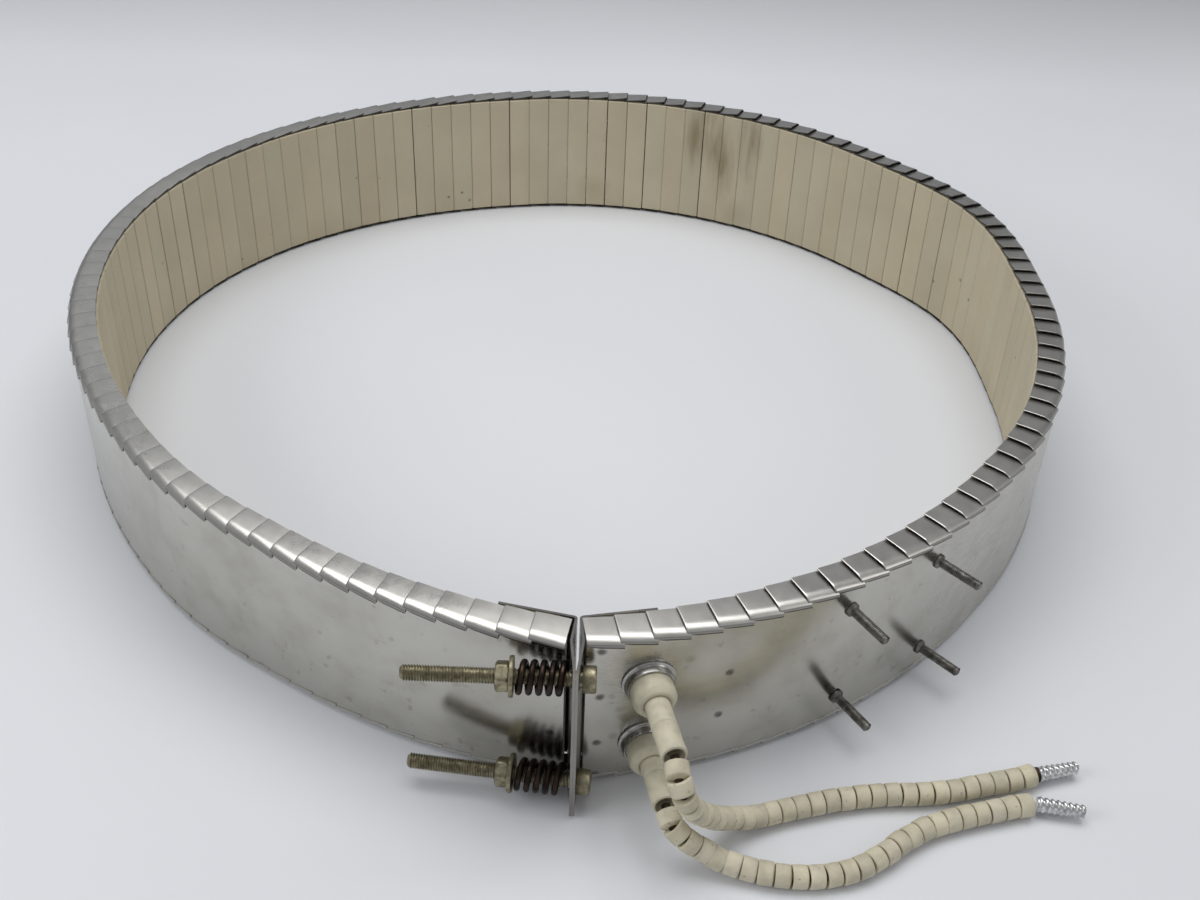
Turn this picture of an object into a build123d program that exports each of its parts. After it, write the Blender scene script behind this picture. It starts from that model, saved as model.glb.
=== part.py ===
"""Ceramic band heater with a spring-loaded clamp, beaded leads and welded studs.

Frame: origin at the centre of the clamped barrel, half way up the band. +Z is along
the barrel, and the clamp faces -Y. Pieces are laid out from the plane that the band
stands on, and save() brings them down to the frame. All sizes are in millimetres.
"""
from build123d import *
import math
import os

os.makedirs("parts", exist_ok=True)

# Band: the barrel it clamps, and the layers of its wall from the inside out
barrel_diameter = 444.0
tile_thickness = 8.0
ribbon_gauge = 0.6
ribbon_clearance = 0.35
blanket_thickness = 3.25
sheath_gauge = 0.6
layer_clearance = 0.05
band_height = 75.5
band_step = 6.1

# Ceramic tiles
tile_pitch = 12.2
tile_joint = 0.25
tile_end_clearance = 1.0
tile_tongue_height = 0.9
tile_tongue_width = 3.0
tile_tongue_clearance = 0.3
tile_groups = 12

# Free shape of the unclamped band, as lifts off the barrel circle
clamp_offset = 8.8
arm_lift = 18.0
right_arm_reach = 49.3
right_arm_power = 1.25
left_arm_reach = 33.5
left_arm_power = 1.46
bulges = [
    {"middle": 160.5, "half_width": 60.0, "lift": 15.3},
    {"middle": 23.5, "half_width": 20.6, "lift": 6.3},
]

# Folded tabs on both rims of the sheath
tab_pitch = 12.35
tab_reach = 10.6
tab_lap = 1.3
tab_rise = 0.9
tab_flare = 0.35
tab_fold = 1.7
tab_lip = 1.6
tab_stand_off = 0.35
gap_half_width = 1.9

# Heating ribbon, one hairpin behind the tiles
ribbon_width = 8.0
ribbon_end_margin = 24.4

# Clamp lugs: a leg inside the band and a flange out through the gap
lug_gauge = 1.0
lug_leg = 28.0
lug_bottom = 1.6
lug_top_clearance = 0.8
lug_throat_half = 0.75
lug_kink_half = 2.2
lug_kink_reach = 12.0
lug_meet_reach = 27.4
lug_tip_reach = 31.2
lug_meet_clearance = 0.03
lug_bend_radius = 1.2
lug_hole_diameter = 7.2
lug_seat_clearance = 0.05

# Clamp screws with their springs, washers and nuts
screw_diameter = 6.0
screw_length = 65.0
screw_head_diameter = 10.0
screw_head_height = 5.0
screw_socket_width = 5.0
screw_socket_depth = 2.8
screw_chamfer = 0.6
upper_screw_reach = 20.6
lower_screw_reach = 22.4
screw_spacing = 52.6
spring_length = 19.6
spring_outer_diameter = 13.0
spring_wire = 2.4
spring_turns = 4.8
seat_clearance = 0.05
washer_diameter = 15.0
washer_bore = 6.5
washer_thickness = 1.6
nut_width = 10.0
nut_thickness = 5.0
nut_chamfer = 0.5
thread_clearance = 0.05

# Terminals on the right arm
terminal_along_arm = 22.4
terminal_spacing = 32.0
terminal_middle_height = 36.0
terminal_pin_diameter = 4.0
terminal_pin_reach = 26.0
collar_gauge = 0.9
collar_length = 4.2
collar_flange_width = 1.2
bush_diameter = 16.6
bush_length = 12.4
bush_nose_chamfer = 1.0
bush_socket_depth = 4.0
tube_diameter = 9.6
tube_bore = 6.4
upper_tube_end = 36.5
lower_tube_end = 31.5
ceramic_clearance = 0.1
sheath_hole_clearance = 1.5

# Studs on the right arm
stud_diameter = 4.0
stud_length = 20.0
stud_collar_diameter = 6.2
stud_collar_height = 1.8
stud_spacing = 47.5
stud_middle_height = 37.2
stud_middle_along_arm = 125.4
stud_row_spacing = 46.0

# Leads: centre lines of the two bead strings, which lie on the table
lead_diameter = 9.0
upper_lead_points = [
    (45.6, -293.3, 49.3), (48.0, -295.0, 44.0), (50.6, -292.6, 36.0),
    (55.3, -287.0, 25.8), (61.8, -280.0, 15.8), (70.6, -273.6, 7.8), (82.5, -268.4, 4.6),
    (97.0, -263.6, 4.6), (111.0, -259.6, 4.6), (125.0, -257.2, 4.6),
    (139.0, -256.2, 4.6), (153.0, -254.4, 4.6), (167.0, -250.2, 4.6),
    (178.0, -247.6, 4.6), (187.5, -244.4, 4.6),
]
lower_lead_points = [
    (46.1, -288.3, 17.8), (52.6, -289.4, 13.0), (60.5, -290.4, 7.2),
    (71.0, -293.0, 4.6), (84.0, -296.0, 4.6), (98.5, -296.2, 4.6), (112.0, -292.6, 4.6),
    (123.5, -285.4, 4.6), (133.0, -276.8, 4.6), (144.5, -270.2, 4.6),
    (157.0, -265.8, 4.6), (170.5, -262.4, 4.6), (183.5, -258.4, 4.6),
]
lead_exit_run = 5.4
lead_meet_clearance = 0.02
ferrule_root_diameter = 6.4
ferrule_tip_diameter = 3.8
ferrule_length = 18.0
ferrule_sleeve_length = 3.0
upper_ferrule_turn = -4.0
lower_ferrule_turn = -26.0

# Derived sizes
barrel_radius = barrel_diameter / 2
ribbon_face = tile_thickness + ribbon_clearance
blanket_face = ribbon_face + ribbon_gauge + ribbon_clearance
blanket_back = blanket_face + blanket_thickness
sheath_inner = blanket_back + layer_clearance
sheath_outer = sheath_inner + sheath_gauge
tile_bottom = sheath_gauge + tab_rise + 0.5
tile_top = band_height - tile_bottom
tile_height = tile_top - tile_bottom
gap_angle = -math.degrees(math.acos(clamp_offset / (barrel_radius + sheath_outer + arm_lift)))


def bell(turn, half_width):
    """One smooth hump, 1 in the middle and 0 from half_width on."""
    if abs(turn) >= half_width:
        return 0.0
    return math.cos(math.pi * turn / (2 * half_width)) ** 2


def face_radius(angle):
    """Radius of the band's inner face at a polar angle counted from the gap, 0 to 360."""
    radius = barrel_radius
    if angle < right_arm_reach:
        radius += arm_lift * (1 - angle / right_arm_reach) ** right_arm_power
    if 360 - angle < left_arm_reach:
        radius += arm_lift * (1 - (360 - angle) / left_arm_reach) ** left_arm_power
    for bulge in bulges:
        turn = (angle + gap_angle - bulge["middle"] + 180) % 360 - 180
        radius += bulge["lift"] * bell(turn, bulge["half_width"])
    return radius


def face_point(angle):
    """Plan position of the inner face at an angle counted from the gap."""
    radius = face_radius(angle)
    direction = math.radians(angle + gap_angle)
    return radius * math.cos(direction), radius * math.sin(direction)


# The inner face as a table of angle steps with the length walked so far
first_angle = math.degrees(gap_half_width / (barrel_radius + arm_lift))
angle_steps = 1440
walk = [(0.0, face_point(first_angle), first_angle)]
for step in range(1, angle_steps + 1):
    next_angle = first_angle + (360 - 2 * first_angle) * step / angle_steps
    here = face_point(next_angle)
    before = walk[-1]
    walk.append((before[0] + math.dist(here, before[1]), here, next_angle))
face_length = walk[-1][0]


def station(along, outward=0.0):
    """Point, outward direction in degrees, at a length along the inner face."""
    share = min(max(along / face_length, 0.0), 1.0)
    index = min(int(share * angle_steps), angle_steps - 1)
    while index > 0 and walk[index][0] > along:
        index -= 1
    while index < angle_steps - 1 and walk[index + 1][0] < along:
        index += 1
    start, end = walk[index], walk[index + 1]
    part = (along - start[0]) / (end[0] - start[0])
    angle = start[2] + part * (end[2] - start[2])
    x, y = face_point(angle)
    ahead = face_point(angle + 0.05)
    behind = face_point(angle - 0.05)
    heading = math.degrees(math.atan2(ahead[1] - behind[1], ahead[0] - behind[0]))
    normal = heading - 90
    turn = math.radians(normal)
    return x + outward * math.cos(turn), y + outward * math.sin(turn), normal


def at_station(along, outward, height):
    """Local frame on the band: X points outward, Y along the band, Z up."""
    x, y, normal = station(along, outward)
    return Location((x, y, height), (0, 0, normal))


def band_curve(outward, start, end):
    """Short straight steps at a fixed distance outside the inner face."""
    count = max(1, round((end - start) / band_step))
    points = []
    for index in range(count + 1):
        x, y, _ = station(start + (end - start) * index / count, outward)
        points.append((x, y))
    return Polyline(*points)


def band_layer(inside, outside, bottom, top, start=0.0, end=None):
    """A layer of the band's wall between two distances from the inner face."""
    end = face_length if end is None else end
    inner = band_curve(inside, start, end)
    outer = band_curve(outside, start, end)
    ends = [Line(inner @ 1, outer @ 1), Line(outer @ 0, inner @ 0)]
    outline = Wire(list(inner.edges()) + list(outer.edges()) + ends)
    return Pos(0, 0, bottom) * extrude(Face(outline), top - bottom, dir=(0, 0, 1))


def rod(diameter, start, end):
    """A round bar along X."""
    return extrude(Plane.YZ.offset(start) * Circle(diameter / 2), end - start)


def ring(outer_diameter, bore_diameter, start, end):
    """A plain ring along X."""
    section = Circle(outer_diameter / 2) - Circle(bore_diameter / 2)
    return extrude(Plane.YZ.offset(start) * section, end - start)


def save(part, node):
    """Move a part to the frame, label it with its node's name and write its STEP."""
    placed = Pos(0, 0, -band_height / 2) * part
    placed.label = node
    export_step(placed, f"parts/{node}.step")


def group(solids):
    """Separate solids of one node."""
    return Compound(children=list(solids))


# Terminals and studs stand on the right arm, at these places of the wall
def terminal_place(row):
    """Local frame of a terminal: X points outward from the sheath. Row is +1 or -1."""
    height = terminal_middle_height + row * terminal_spacing / 2
    return at_station(terminal_along_arm, sheath_outer, height)


def stud_place(column, row):
    """Local frame of a stud, by its column along the arm and its row in height."""
    along = stud_middle_along_arm + column * stud_row_spacing / 2
    height = stud_middle_height + row * stud_spacing / 2
    return at_station(along, sheath_outer, height)


# Sheath: one strip with a row of folded tabs on each rim, lapped like scales
def tab_profile():
    """Section of a tab at the upper rim: lip outside the wall, fold and inward leaf."""
    top = band_height - tab_rise / 2
    skin = tab_stand_off - sheath_gauge
    bevel = tab_fold * 0.4
    return Polyline(
        (tab_stand_off, top - tab_fold - tab_lip),
        (tab_stand_off, top - tab_fold),
        (tab_stand_off - tab_fold, top),
        (-tab_reach, top),
        (-tab_reach, top - sheath_gauge),
        (tab_stand_off - tab_fold - sheath_gauge + bevel, top - sheath_gauge),
        (skin, top - tab_fold - sheath_gauge + bevel),
        (skin, top - tab_fold - tab_lip),
        close=True,
    )


def make_tab(width):
    """One tab, its leading edge raised and flared over the next one."""
    section = Plane.XZ * make_face(tab_profile())
    leaf = extrude(section, width / 2, both=True)
    tilt = -math.degrees(math.atan2(tab_rise, width))
    flare = -math.degrees(math.atan2(tab_flare, width))
    pivot = Pos(0, 0, band_height)
    return pivot * Rot(tilt, 0, flare) * pivot.inverse() * leaf


def make_sheath():
    wall_top = band_height - tab_fold - tab_rise
    wall = band_layer(sheath_inner, sheath_outer, band_height - wall_top, wall_top)
    for row in (1, -1):
        hole = rod(terminal_pin_diameter + 2 * sheath_hole_clearance, -2 * sheath_gauge, sheath_gauge)
        wall -= terminal_place(row) * hole
    upper_tab = make_tab(tab_pitch + tab_lap)
    lower_tab = mirror(upper_tab, Plane.XY.offset(band_height / 2))
    outer_length = band_curve(sheath_outer, 0, face_length).length
    count = round((outer_length - tab_lap) / tab_pitch)
    step = (face_length - tab_lap) / count
    first = (tab_lap + step) / 2
    tabs = []
    for index in range(count):
        place = at_station(first + index * step, sheath_outer, 0)
        tabs.append(place * upper_tab)
        tabs.append(place * lower_tab)
    return wall.fuse(*tabs)


# Tiles: full-height ceramic strips, each with a tongue that keys into the next
def make_tile():
    half = (tile_pitch - tile_joint) / 2
    sag = barrel_radius - math.sqrt(barrel_radius ** 2 - half ** 2)
    middle = tile_thickness / 2
    tongue = tile_tongue_width / 2
    groove = tongue + tile_tongue_clearance
    depth = tile_tongue_height + tile_tongue_clearance
    bore_face = ThreePointArc((-sag, -half), (0, 0), (-sag, half))
    back = Polyline(
        (-sag, half),
        (middle - tongue, half),
        (middle, half + tile_tongue_height),
        (middle + tongue, half),
        (tile_thickness, half),
        (tile_thickness, -half),
        (middle + groove, -half),
        (middle, depth - half),
        (middle - groove, -half),
        (-sag, -half),
    )
    section = Face(Wire([bore_face] + list(back.edges())))
    return extrude(section, tile_height, dir=(0, 0, 1))


def tile_lift(along):
    """How far a tile stands off where the face curves in, to leave the barrel clear."""
    half = (tile_pitch - tile_joint) / 2
    sag = barrel_radius - math.sqrt(barrel_radius ** 2 - half ** 2)
    lift = 0.0
    for edge in (-half, half):
        corner = (at_station(along, 0, 0) * Pos(-sag, edge, 0)).position
        lift = max(lift, barrel_radius - math.hypot(corner.X, corner.Y))
    return lift


def make_tiles():
    """All tiles, in equal groups round the band."""
    tile = make_tile()
    count = int((face_length - 2 * tile_end_clearance) / tile_pitch)
    first = (face_length - (count - 1) * tile_pitch) / 2
    tiles = []
    for index in range(count):
        along = first + index * tile_pitch
        tiles.append(at_station(along, tile_lift(along), tile_bottom) * tile)
    size = math.ceil(count / tile_groups)
    return [tiles[start:start + size] for start in range(0, count, size)]


# Inner layers: the heating ribbon, one hairpin, and the blanket behind it
def make_ribbon():
    low = terminal_middle_height - terminal_spacing / 2
    high = terminal_middle_height + terminal_spacing / 2
    half = ribbon_width / 2
    start = terminal_along_arm - half
    end = face_length - ribbon_end_margin
    back = ribbon_face + ribbon_gauge
    strip = band_layer(ribbon_face, back, low - half, high + half, start, end)
    window = band_layer(
        ribbon_face - ribbon_gauge, back + ribbon_gauge,
        low + half, high - half, start - ribbon_width, end - ribbon_width,
    )
    return strip - window


def make_blanket():
    blanket = band_layer(blanket_face, blanket_back, tile_bottom, tile_top)
    for row in (1, -1):
        hole = rod(terminal_pin_diameter + 2 * ceramic_clearance, -2 * sheath_outer, 0)
        blanket -= terminal_place(row) * hole
    return blanket


# Clamp lugs: folded sheet, met face to face at the flange's edge
def throat(side):
    """Inner corner of a lug, where its leg turns out through the gap. Side is +1 or -1."""
    inset = -lug_gauge / 2 - lug_seat_clearance
    if side > 0:
        far = station(lug_leg, inset)
        near = station(0, inset)
    else:
        far = station(face_length - lug_leg, inset)
        near = station(face_length, inset)
    x = clamp_offset + side * lug_throat_half
    slope = (near[1] - far[1]) / (near[0] - far[0])
    return far[:2], (x, near[1] + slope * (x - near[0]))


gap_y = (throat(1)[1][1] + throat(-1)[1][1]) / 2
meet_half = lug_gauge / 2 + lug_meet_clearance
flange_slope = (lug_kink_half - meet_half) / (lug_meet_reach - lug_kink_reach)
flange_angle = math.degrees(math.atan(flange_slope))
screw_middle_height = band_height / 2
flange_top = band_height - lug_top_clearance


def flange_face(reach):
    """Distance of a flange's outer face from the parting plane, at a reach from the throat."""
    run = lug_meet_reach - max(reach, lug_kink_reach)
    return meet_half + lug_gauge / 2 + flange_slope * max(run, 0)


def screw_place(row, reach, lean):
    """Local frame of a clamp screw: X runs towards its head, from the parting plane."""
    height = screw_middle_height + row * screw_spacing / 2
    return Location((clamp_offset, gap_y - reach, height), (0, 0, -lean))


def make_lug(side):
    far, corner = throat(side)
    path = FilletPolyline(
        far,
        corner,
        (clamp_offset + side * lug_kink_half, gap_y - lug_kink_reach),
        (clamp_offset + side * meet_half, gap_y - lug_meet_reach),
        (clamp_offset + side * meet_half, gap_y - lug_tip_reach),
        radius=lug_bend_radius,
    )
    sheet = extrude(trace(path, lug_gauge), flange_top - lug_bottom, dir=(0, 0, 1))
    lug = Pos(0, 0, lug_bottom) * sheet
    for row, reach in ((1, upper_screw_reach), (-1, lower_screw_reach)):
        hole = rod(lug_hole_diameter, -lug_kink_reach, lug_kink_reach)
        lug -= screw_place(row, reach, 0) * hole
    return lug


# Clamp screws: local X runs along the screw towards its head, from the parting plane
def head_seat(reach, lean):
    """Head's seat on the right flange: square to a leaning screw, else on its high edge."""
    turn = math.radians(lean)
    if lean > 0:
        return flange_face(reach) * math.cos(turn) + seat_clearance
    return flange_face(reach - screw_head_diameter / 2) + seat_clearance


def spring_seat(reach, lean):
    """Spring's seat on the left flange, where its end coil meets the high edge."""
    turn = math.radians(lean)
    radius = spring_outer_diameter / 2
    seat = flange_face(reach)
    for _ in range(4):
        edge = reach - radius * math.cos(turn) - seat * math.sin(turn)
        seat = (flange_face(edge) + radius * math.sin(turn)) / math.cos(turn)
    return seat + seat_clearance


def make_screw(reach, lean):
    seat = head_seat(reach, lean)
    head = rod(screw_head_diameter, seat, seat + screw_head_height)
    head = chamfer(head.edges().filter_by(GeomType.CIRCLE).sort_by(Axis.X)[-1], screw_chamfer)
    socket_radius = screw_socket_width / 2 / math.cos(math.pi / 6)
    mouth = Plane.YZ.offset(seat + screw_head_height - screw_socket_depth)
    head -= extrude(mouth * RegularPolygon(socket_radius, 6), screw_socket_depth)
    shank = rod(screw_diameter, seat - screw_length, seat)
    shank = chamfer(shank.edges().filter_by(GeomType.CIRCLE).sort_by(Axis.X)[0], screw_chamfer)
    return head + shank


def make_spring(reach, lean):
    start = -spring_seat(reach, lean) - spring_wire / 2
    height = spring_length - spring_wire
    radius = (spring_outer_diameter - spring_wire) / 2
    path = Helix(height / spring_turns, height, radius, direction=(-1, 0, 0))
    wire = Plane(origin=path @ 0, z_dir=path % 0) * Circle(spring_wire / 2)
    return Pos(start, 0, 0) * sweep(wire, path=path, is_frenet=True)


def washer_start(reach, lean):
    return -spring_seat(reach, lean) - spring_length - seat_clearance


def make_washer(reach, lean):
    start = washer_start(reach, lean)
    return ring(washer_diameter, washer_bore, start - washer_thickness, start)


def make_nut(reach, lean):
    start = washer_start(reach, lean) - washer_thickness - seat_clearance / 2
    corner = nut_width / 2 / math.cos(math.pi / 6)
    hexagon = RegularPolygon(corner, 6) - Circle(screw_diameter / 2 + thread_clearance)
    nut = extrude(Plane.YZ.offset(start - nut_thickness) * hexagon, nut_thickness)
    turned = rod(2 * corner, start - nut_thickness, start)
    turned = chamfer(turned.edges().filter_by(GeomType.CIRCLE), nut_chamfer)
    return nut & turned


# Terminals: pin, steel collar, ceramic bush and tube, all on the pin's axis
def make_pin():
    start = ribbon_face + ribbon_gauge - sheath_outer + layer_clearance / 2
    return rod(terminal_pin_diameter, start, terminal_pin_reach)


def make_collar():
    bore = bush_diameter + 2 * ceramic_clearance
    outside = bore + 2 * collar_gauge
    start = layer_clearance
    flange = ring(outside + 2 * collar_flange_width, bore, start, start + collar_gauge)
    return flange + ring(outside, bore, start, collar_length)


def make_bush():
    bush = rod(bush_diameter, layer_clearance, bush_length)
    bush = chamfer(bush.edges().filter_by(GeomType.CIRCLE).sort_by(Axis.X)[-1], bush_nose_chamfer)
    bush -= rod(terminal_pin_diameter + 2 * ceramic_clearance, 0, bush_length)
    socket = tube_diameter + 2 * ceramic_clearance
    return bush - rod(socket, bush_length - bush_socket_depth, bush_length)


def make_tube(end):
    start = bush_length - bush_socket_depth + layer_clearance
    return ring(tube_diameter, tube_bore, start, end)


# Studs: each a threaded pin with its weld collar
def make_stud():
    collar = rod(stud_collar_diameter, layer_clearance, stud_collar_height)
    pin = rod(stud_diameter, layer_clearance, stud_length)
    pin = chamfer(pin.edges().filter_by(GeomType.CIRCLE).sort_by(Axis.X)[-1], stud_diameter / 8)
    return collar + pin


# Leads: plain round strings from the tube's mouth to the crimped end
def lead_route(row, end, points):
    """Out of the tube along its axis, then through the chosen points."""
    start = end + lead_meet_clearance
    mouth = terminal_place(row) * Pos(start, 0, 0)
    leaving = terminal_place(row) * Pos(start + lead_exit_run, 0, 0)
    return [tuple(mouth.position), tuple(leaving.position)] + points


def lead_path(name, route):
    """Straight runs joined by the widest arcs they allow."""
    radii = []
    for before, corner, after in zip(route, route[1:], route[2:]):
        arriving = Vector(*corner) - Vector(*before)
        leaving = Vector(*after) - Vector(*corner)
        half_turn = math.radians(arriving.get_angle(leaving)) / 2
        shorter = min(arriving.length, leaving.length)
        radii.append(0.45 * shorter / math.tan(half_turn))
    print(name, "arc radii", [round(radius, 1) for radius in radii])
    return FilletPolyline(*route, radius=radii)


def make_lead(name, route):
    path = lead_path(name, route)
    lead = sweep(Plane(origin=path @ 0, z_dir=path % 0) * Circle(lead_diameter / 2), path=path)
    section = math.pi * lead_diameter ** 2 / 4
    ratio = lead.volume / section / path.length
    print(name, "length", round(path.length, 1), "volume ratio", round(ratio, 4))
    return lead


def make_ferrule(route, turn):
    """Crimped end in line with the last run, bent sideways by a small turn."""
    last = Vector(*route[-1]) - Vector(*route[-2])
    heading = math.degrees(math.atan2(last.Y, last.X))
    profile = Polyline(
        (lead_meet_clearance, 0),
        (lead_meet_clearance, ferrule_root_diameter / 2),
        (ferrule_sleeve_length, ferrule_root_diameter / 2),
        (ferrule_length, ferrule_tip_diameter / 2),
        (ferrule_length, 0),
        close=True,
    )
    ferrule = revolve(make_face(profile), Axis.X)
    shift = lead_diameter / 2 * abs(math.sin(math.radians(turn)))
    return Location(route[-1], (0, 0, heading)) * Rot(0, 0, turn) * Pos(shift, 0, 0) * ferrule


print("face length", round(face_length, 1), "wall", round(sheath_outer, 2), "gap at y", round(gap_y, 2))
save(make_sheath(), "sheath")
for number, tiles in enumerate(make_tiles(), start=1):
    save(group(tiles), f"tiles_{number:02d}")
save(make_ribbon(), "heating_ribbon")
save(make_blanket(), "insulation_blanket")
save(make_lug(-1), "left_lug")
save(make_lug(1), "right_lug")

for name, row, reach, lean in (
    ("upper", 1, upper_screw_reach, 0.0), ("lower", -1, lower_screw_reach, flange_angle),
):
    place = screw_place(row, reach, lean)
    save(place * make_screw(reach, lean), f"{name}_clamp_screw")
    save(place * make_spring(reach, lean), f"{name}_spring")
    save(place * make_washer(reach, lean), f"{name}_washer")
    save(place * make_nut(reach, lean), f"{name}_nut")

for name, row, end in (("upper", 1, upper_tube_end), ("lower", -1, lower_tube_end)):
    place = terminal_place(row)
    save(place * make_pin(), f"{name}_terminal_pin")
    save(place * make_collar(), f"{name}_terminal_collar")
    save(place * make_bush(), f"{name}_terminal_bush")
    save(place * make_tube(end), f"{name}_terminal_tube")

for name, column, row in (
    ("upper_left", -1, 1), ("upper_right", 1, 1), ("lower_left", -1, -1), ("lower_right", 1, -1),
):
    save(stud_place(column, row) * make_stud(), f"{name}_stud")

upper_route = lead_route(1, upper_tube_end, upper_lead_points)
lower_route = lead_route(-1, lower_tube_end, lower_lead_points)
for name, route, turn in (
    ("upper", upper_route, upper_ferrule_turn), ("lower", lower_route, lower_ferrule_turn),
):
    save(make_lead(name, route), f"{name}_lead")
    save(make_ferrule(route, turn), f"{name}_lead_ferrule")
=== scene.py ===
# %% [markdown]
# # Ceramic band heater
# A band heater is clamped round the barrel of a plastics machine. A thin steel sheath
# holds a lining of ceramic tiles with a heating ribbon behind them, two sprung screws
# pull its ends together, and beaded leads bring the current.
#
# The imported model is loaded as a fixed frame, so every piece already has its true size
# and place. Pieces that need a finer look than their solids are built again in mesh
# code on the same sizes, and the rest keep their solids with better materials. Sizes
# are in millimetres, and meshes are in metres.

# %% Load the frame
import bpy
import math
import random
from mathutils import Matrix, Vector


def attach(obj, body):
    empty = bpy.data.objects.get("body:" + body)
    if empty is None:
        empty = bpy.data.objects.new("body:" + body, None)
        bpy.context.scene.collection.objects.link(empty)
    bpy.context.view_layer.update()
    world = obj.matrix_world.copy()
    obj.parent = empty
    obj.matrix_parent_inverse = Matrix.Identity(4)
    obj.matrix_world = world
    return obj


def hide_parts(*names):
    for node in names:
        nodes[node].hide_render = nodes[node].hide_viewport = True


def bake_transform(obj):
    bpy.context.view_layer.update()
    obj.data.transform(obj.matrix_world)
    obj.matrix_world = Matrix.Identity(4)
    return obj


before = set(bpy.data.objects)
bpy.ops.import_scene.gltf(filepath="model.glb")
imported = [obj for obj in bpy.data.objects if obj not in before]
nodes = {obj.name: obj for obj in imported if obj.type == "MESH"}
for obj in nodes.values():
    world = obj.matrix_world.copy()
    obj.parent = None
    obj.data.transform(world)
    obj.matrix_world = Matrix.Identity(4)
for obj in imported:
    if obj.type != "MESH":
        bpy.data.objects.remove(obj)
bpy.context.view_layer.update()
mm, metre = 0.001, 1000  # a millimetre in metres, and a metre in millimetres

# %% [markdown]
# ## The band's outline
# A spring steel band never lies as a true circle once its clamp is open: near the gap
# its two arms stand away, and it bulges a little elsewhere. One could bend a circle
# with a lattice, but then tiles, tabs and terminals would each have to be bent as well.
# Here the outline is a radius for every angle, and everything else is placed by its
# length along that outline, so the pieces keep their real widths.

# %% Outline sizes
band_height = 75.5
base = -band_height / 2
barrel_radius = 222.0
sheath_inner, sheath_outer = 12.6, 13.2
clamp_offset, arm_lift = 8.8, 18.0
# An arm is the angle that it spans and the power of its curve.
right_arm, left_arm = (49.3, 1.25), (33.5, 1.46)
# A bulge is its middle and half width in degrees, and its height.
bulges = [(160.5, 60.0, 15.3), (23.5, 20.6, 6.3)]
gap_half_width = 1.9
gap_reach = barrel_radius + sheath_outer + arm_lift
gap_angle = -math.degrees(math.acos(clamp_offset / gap_reach))


def face_radius(angle):
    radius = barrel_radius
    if angle < right_arm[0]:
        radius += arm_lift * (1 - angle / right_arm[0]) ** right_arm[1]
    if 360 - angle < left_arm[0]:
        radius += arm_lift * (1 - (360 - angle) / left_arm[0]) ** left_arm[1]
    for middle, half_width, lift in bulges:
        turn = (angle + gap_angle - middle + 180) % 360 - 180
        if abs(turn) < half_width:
            radius += lift * math.cos(math.pi * turn / (2 * half_width)) ** 2
    return radius


def face_point(angle):
    radius = face_radius(angle)
    direction = math.radians(angle + gap_angle)
    return radius * math.cos(direction), radius * math.sin(direction)


first_angle = math.degrees(gap_half_width / (barrel_radius + arm_lift))
angle_steps = 1440
walk = [(0.0, first_angle)]
spot = face_point(first_angle)
for step in range(1, angle_steps + 1):
    angle = first_angle + (360 - 2 * first_angle) * step / angle_steps
    ahead = face_point(angle)
    walk.append((walk[-1][0] + math.dist(ahead, spot), angle))
    spot = ahead
face_length = walk[-1][0]
print("face length", round(face_length, 1))

# %% Places along the band
def station(along, outward=0.0):
    """Point and outward direction at a length along the inner face."""
    low, high = 0, angle_steps
    while high - low > 1:
        middle = (low + high) // 2
        if walk[middle][0] <= along:
            low = middle
        else:
            high = middle
    part = (along - walk[low][0]) / (walk[high][0] - walk[low][0])
    angle = walk[low][1] + part * (walk[high][1] - walk[low][1])
    x, y = face_point(angle)
    nudge = 0.05
    ahead, behind = face_point(angle + nudge), face_point(angle - nudge)
    turn = math.atan2(ahead[1] - behind[1], ahead[0] - behind[0]) - math.pi / 2
    return x + outward * math.cos(turn), y + outward * math.sin(turn), turn


def band_place(along, outward, height):
    """Matrix of a local frame on the band: X outward, Y along the band, Z up."""
    x, y, turn = station(along, outward)
    return Matrix.Translation((x, y, base + height)) @ Matrix.Rotation(turn, 4, "Z")


print("the face starts at", [round(v, 1) for v in station(0.0)[:2]])

# %% [markdown]
# ## Camera
# The camera repeats the view of the photograph, so that the two can be laid over each
# other. Its place, tilt and lens came from fitting the known height and width of the
# two rims, and the small roll from a camera held by hand.

# %% Camera
camera_x, camera_y, camera_above_floor = 0.0141, -0.6160, 0.4349
camera_tilt, camera_roll = 52.964, 2.245
camera_data = bpy.data.cameras.new("camera")
camera_data.sensor_width = 36.0
camera_data.lens = 42.913
camera_data.clip_start = 0.01
camera = bpy.data.objects.new("camera", camera_data)
bpy.context.scene.collection.objects.link(camera)
camera.matrix_world = (
    Matrix.Translation((camera_x, camera_y, camera_above_floor + base * mm))
    @ Matrix.Rotation(math.radians(camera_tilt), 4, "X")
    @ Matrix.Rotation(math.radians(camera_roll), 4, "Z")
)
bpy.context.scene.camera = camera
print("camera", [round(v, 4) for v in camera.location])

# %% [markdown]
# ## Material helpers
# A material in Blender is a small tree of nodes that ends in the Principled shader. These
# helpers add a node and feed its sockets, either with a plain value or with a link.
# Writing them once keeps each material below short enough to read as a recipe.
# They take a material or a node group, because both hold nodes in the same way.

# %% Nodes and sockets
def tree(owner):
    return owner if isinstance(owner, bpy.types.NodeTree) else owner.node_tree


def feed(owner, value, socket):
    """Links a socket to another one, or gives it a plain number or colour."""
    if isinstance(value, bpy.types.NodeSocket):
        tree(owner).links.new(value, socket)
    elif socket.type == "RGBA":
        socket.default_value = (*value, 1)
    else:
        socket.default_value = value


def feed_all(owner, node, values):
    for title, value in values.items():
        feed(owner, value, node.inputs[title])


def add_node(owner, kind, **settings):
    node = tree(owner).nodes.new(kind)
    for key, value in settings.items():
        setattr(node, key, value)
    return node


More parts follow.
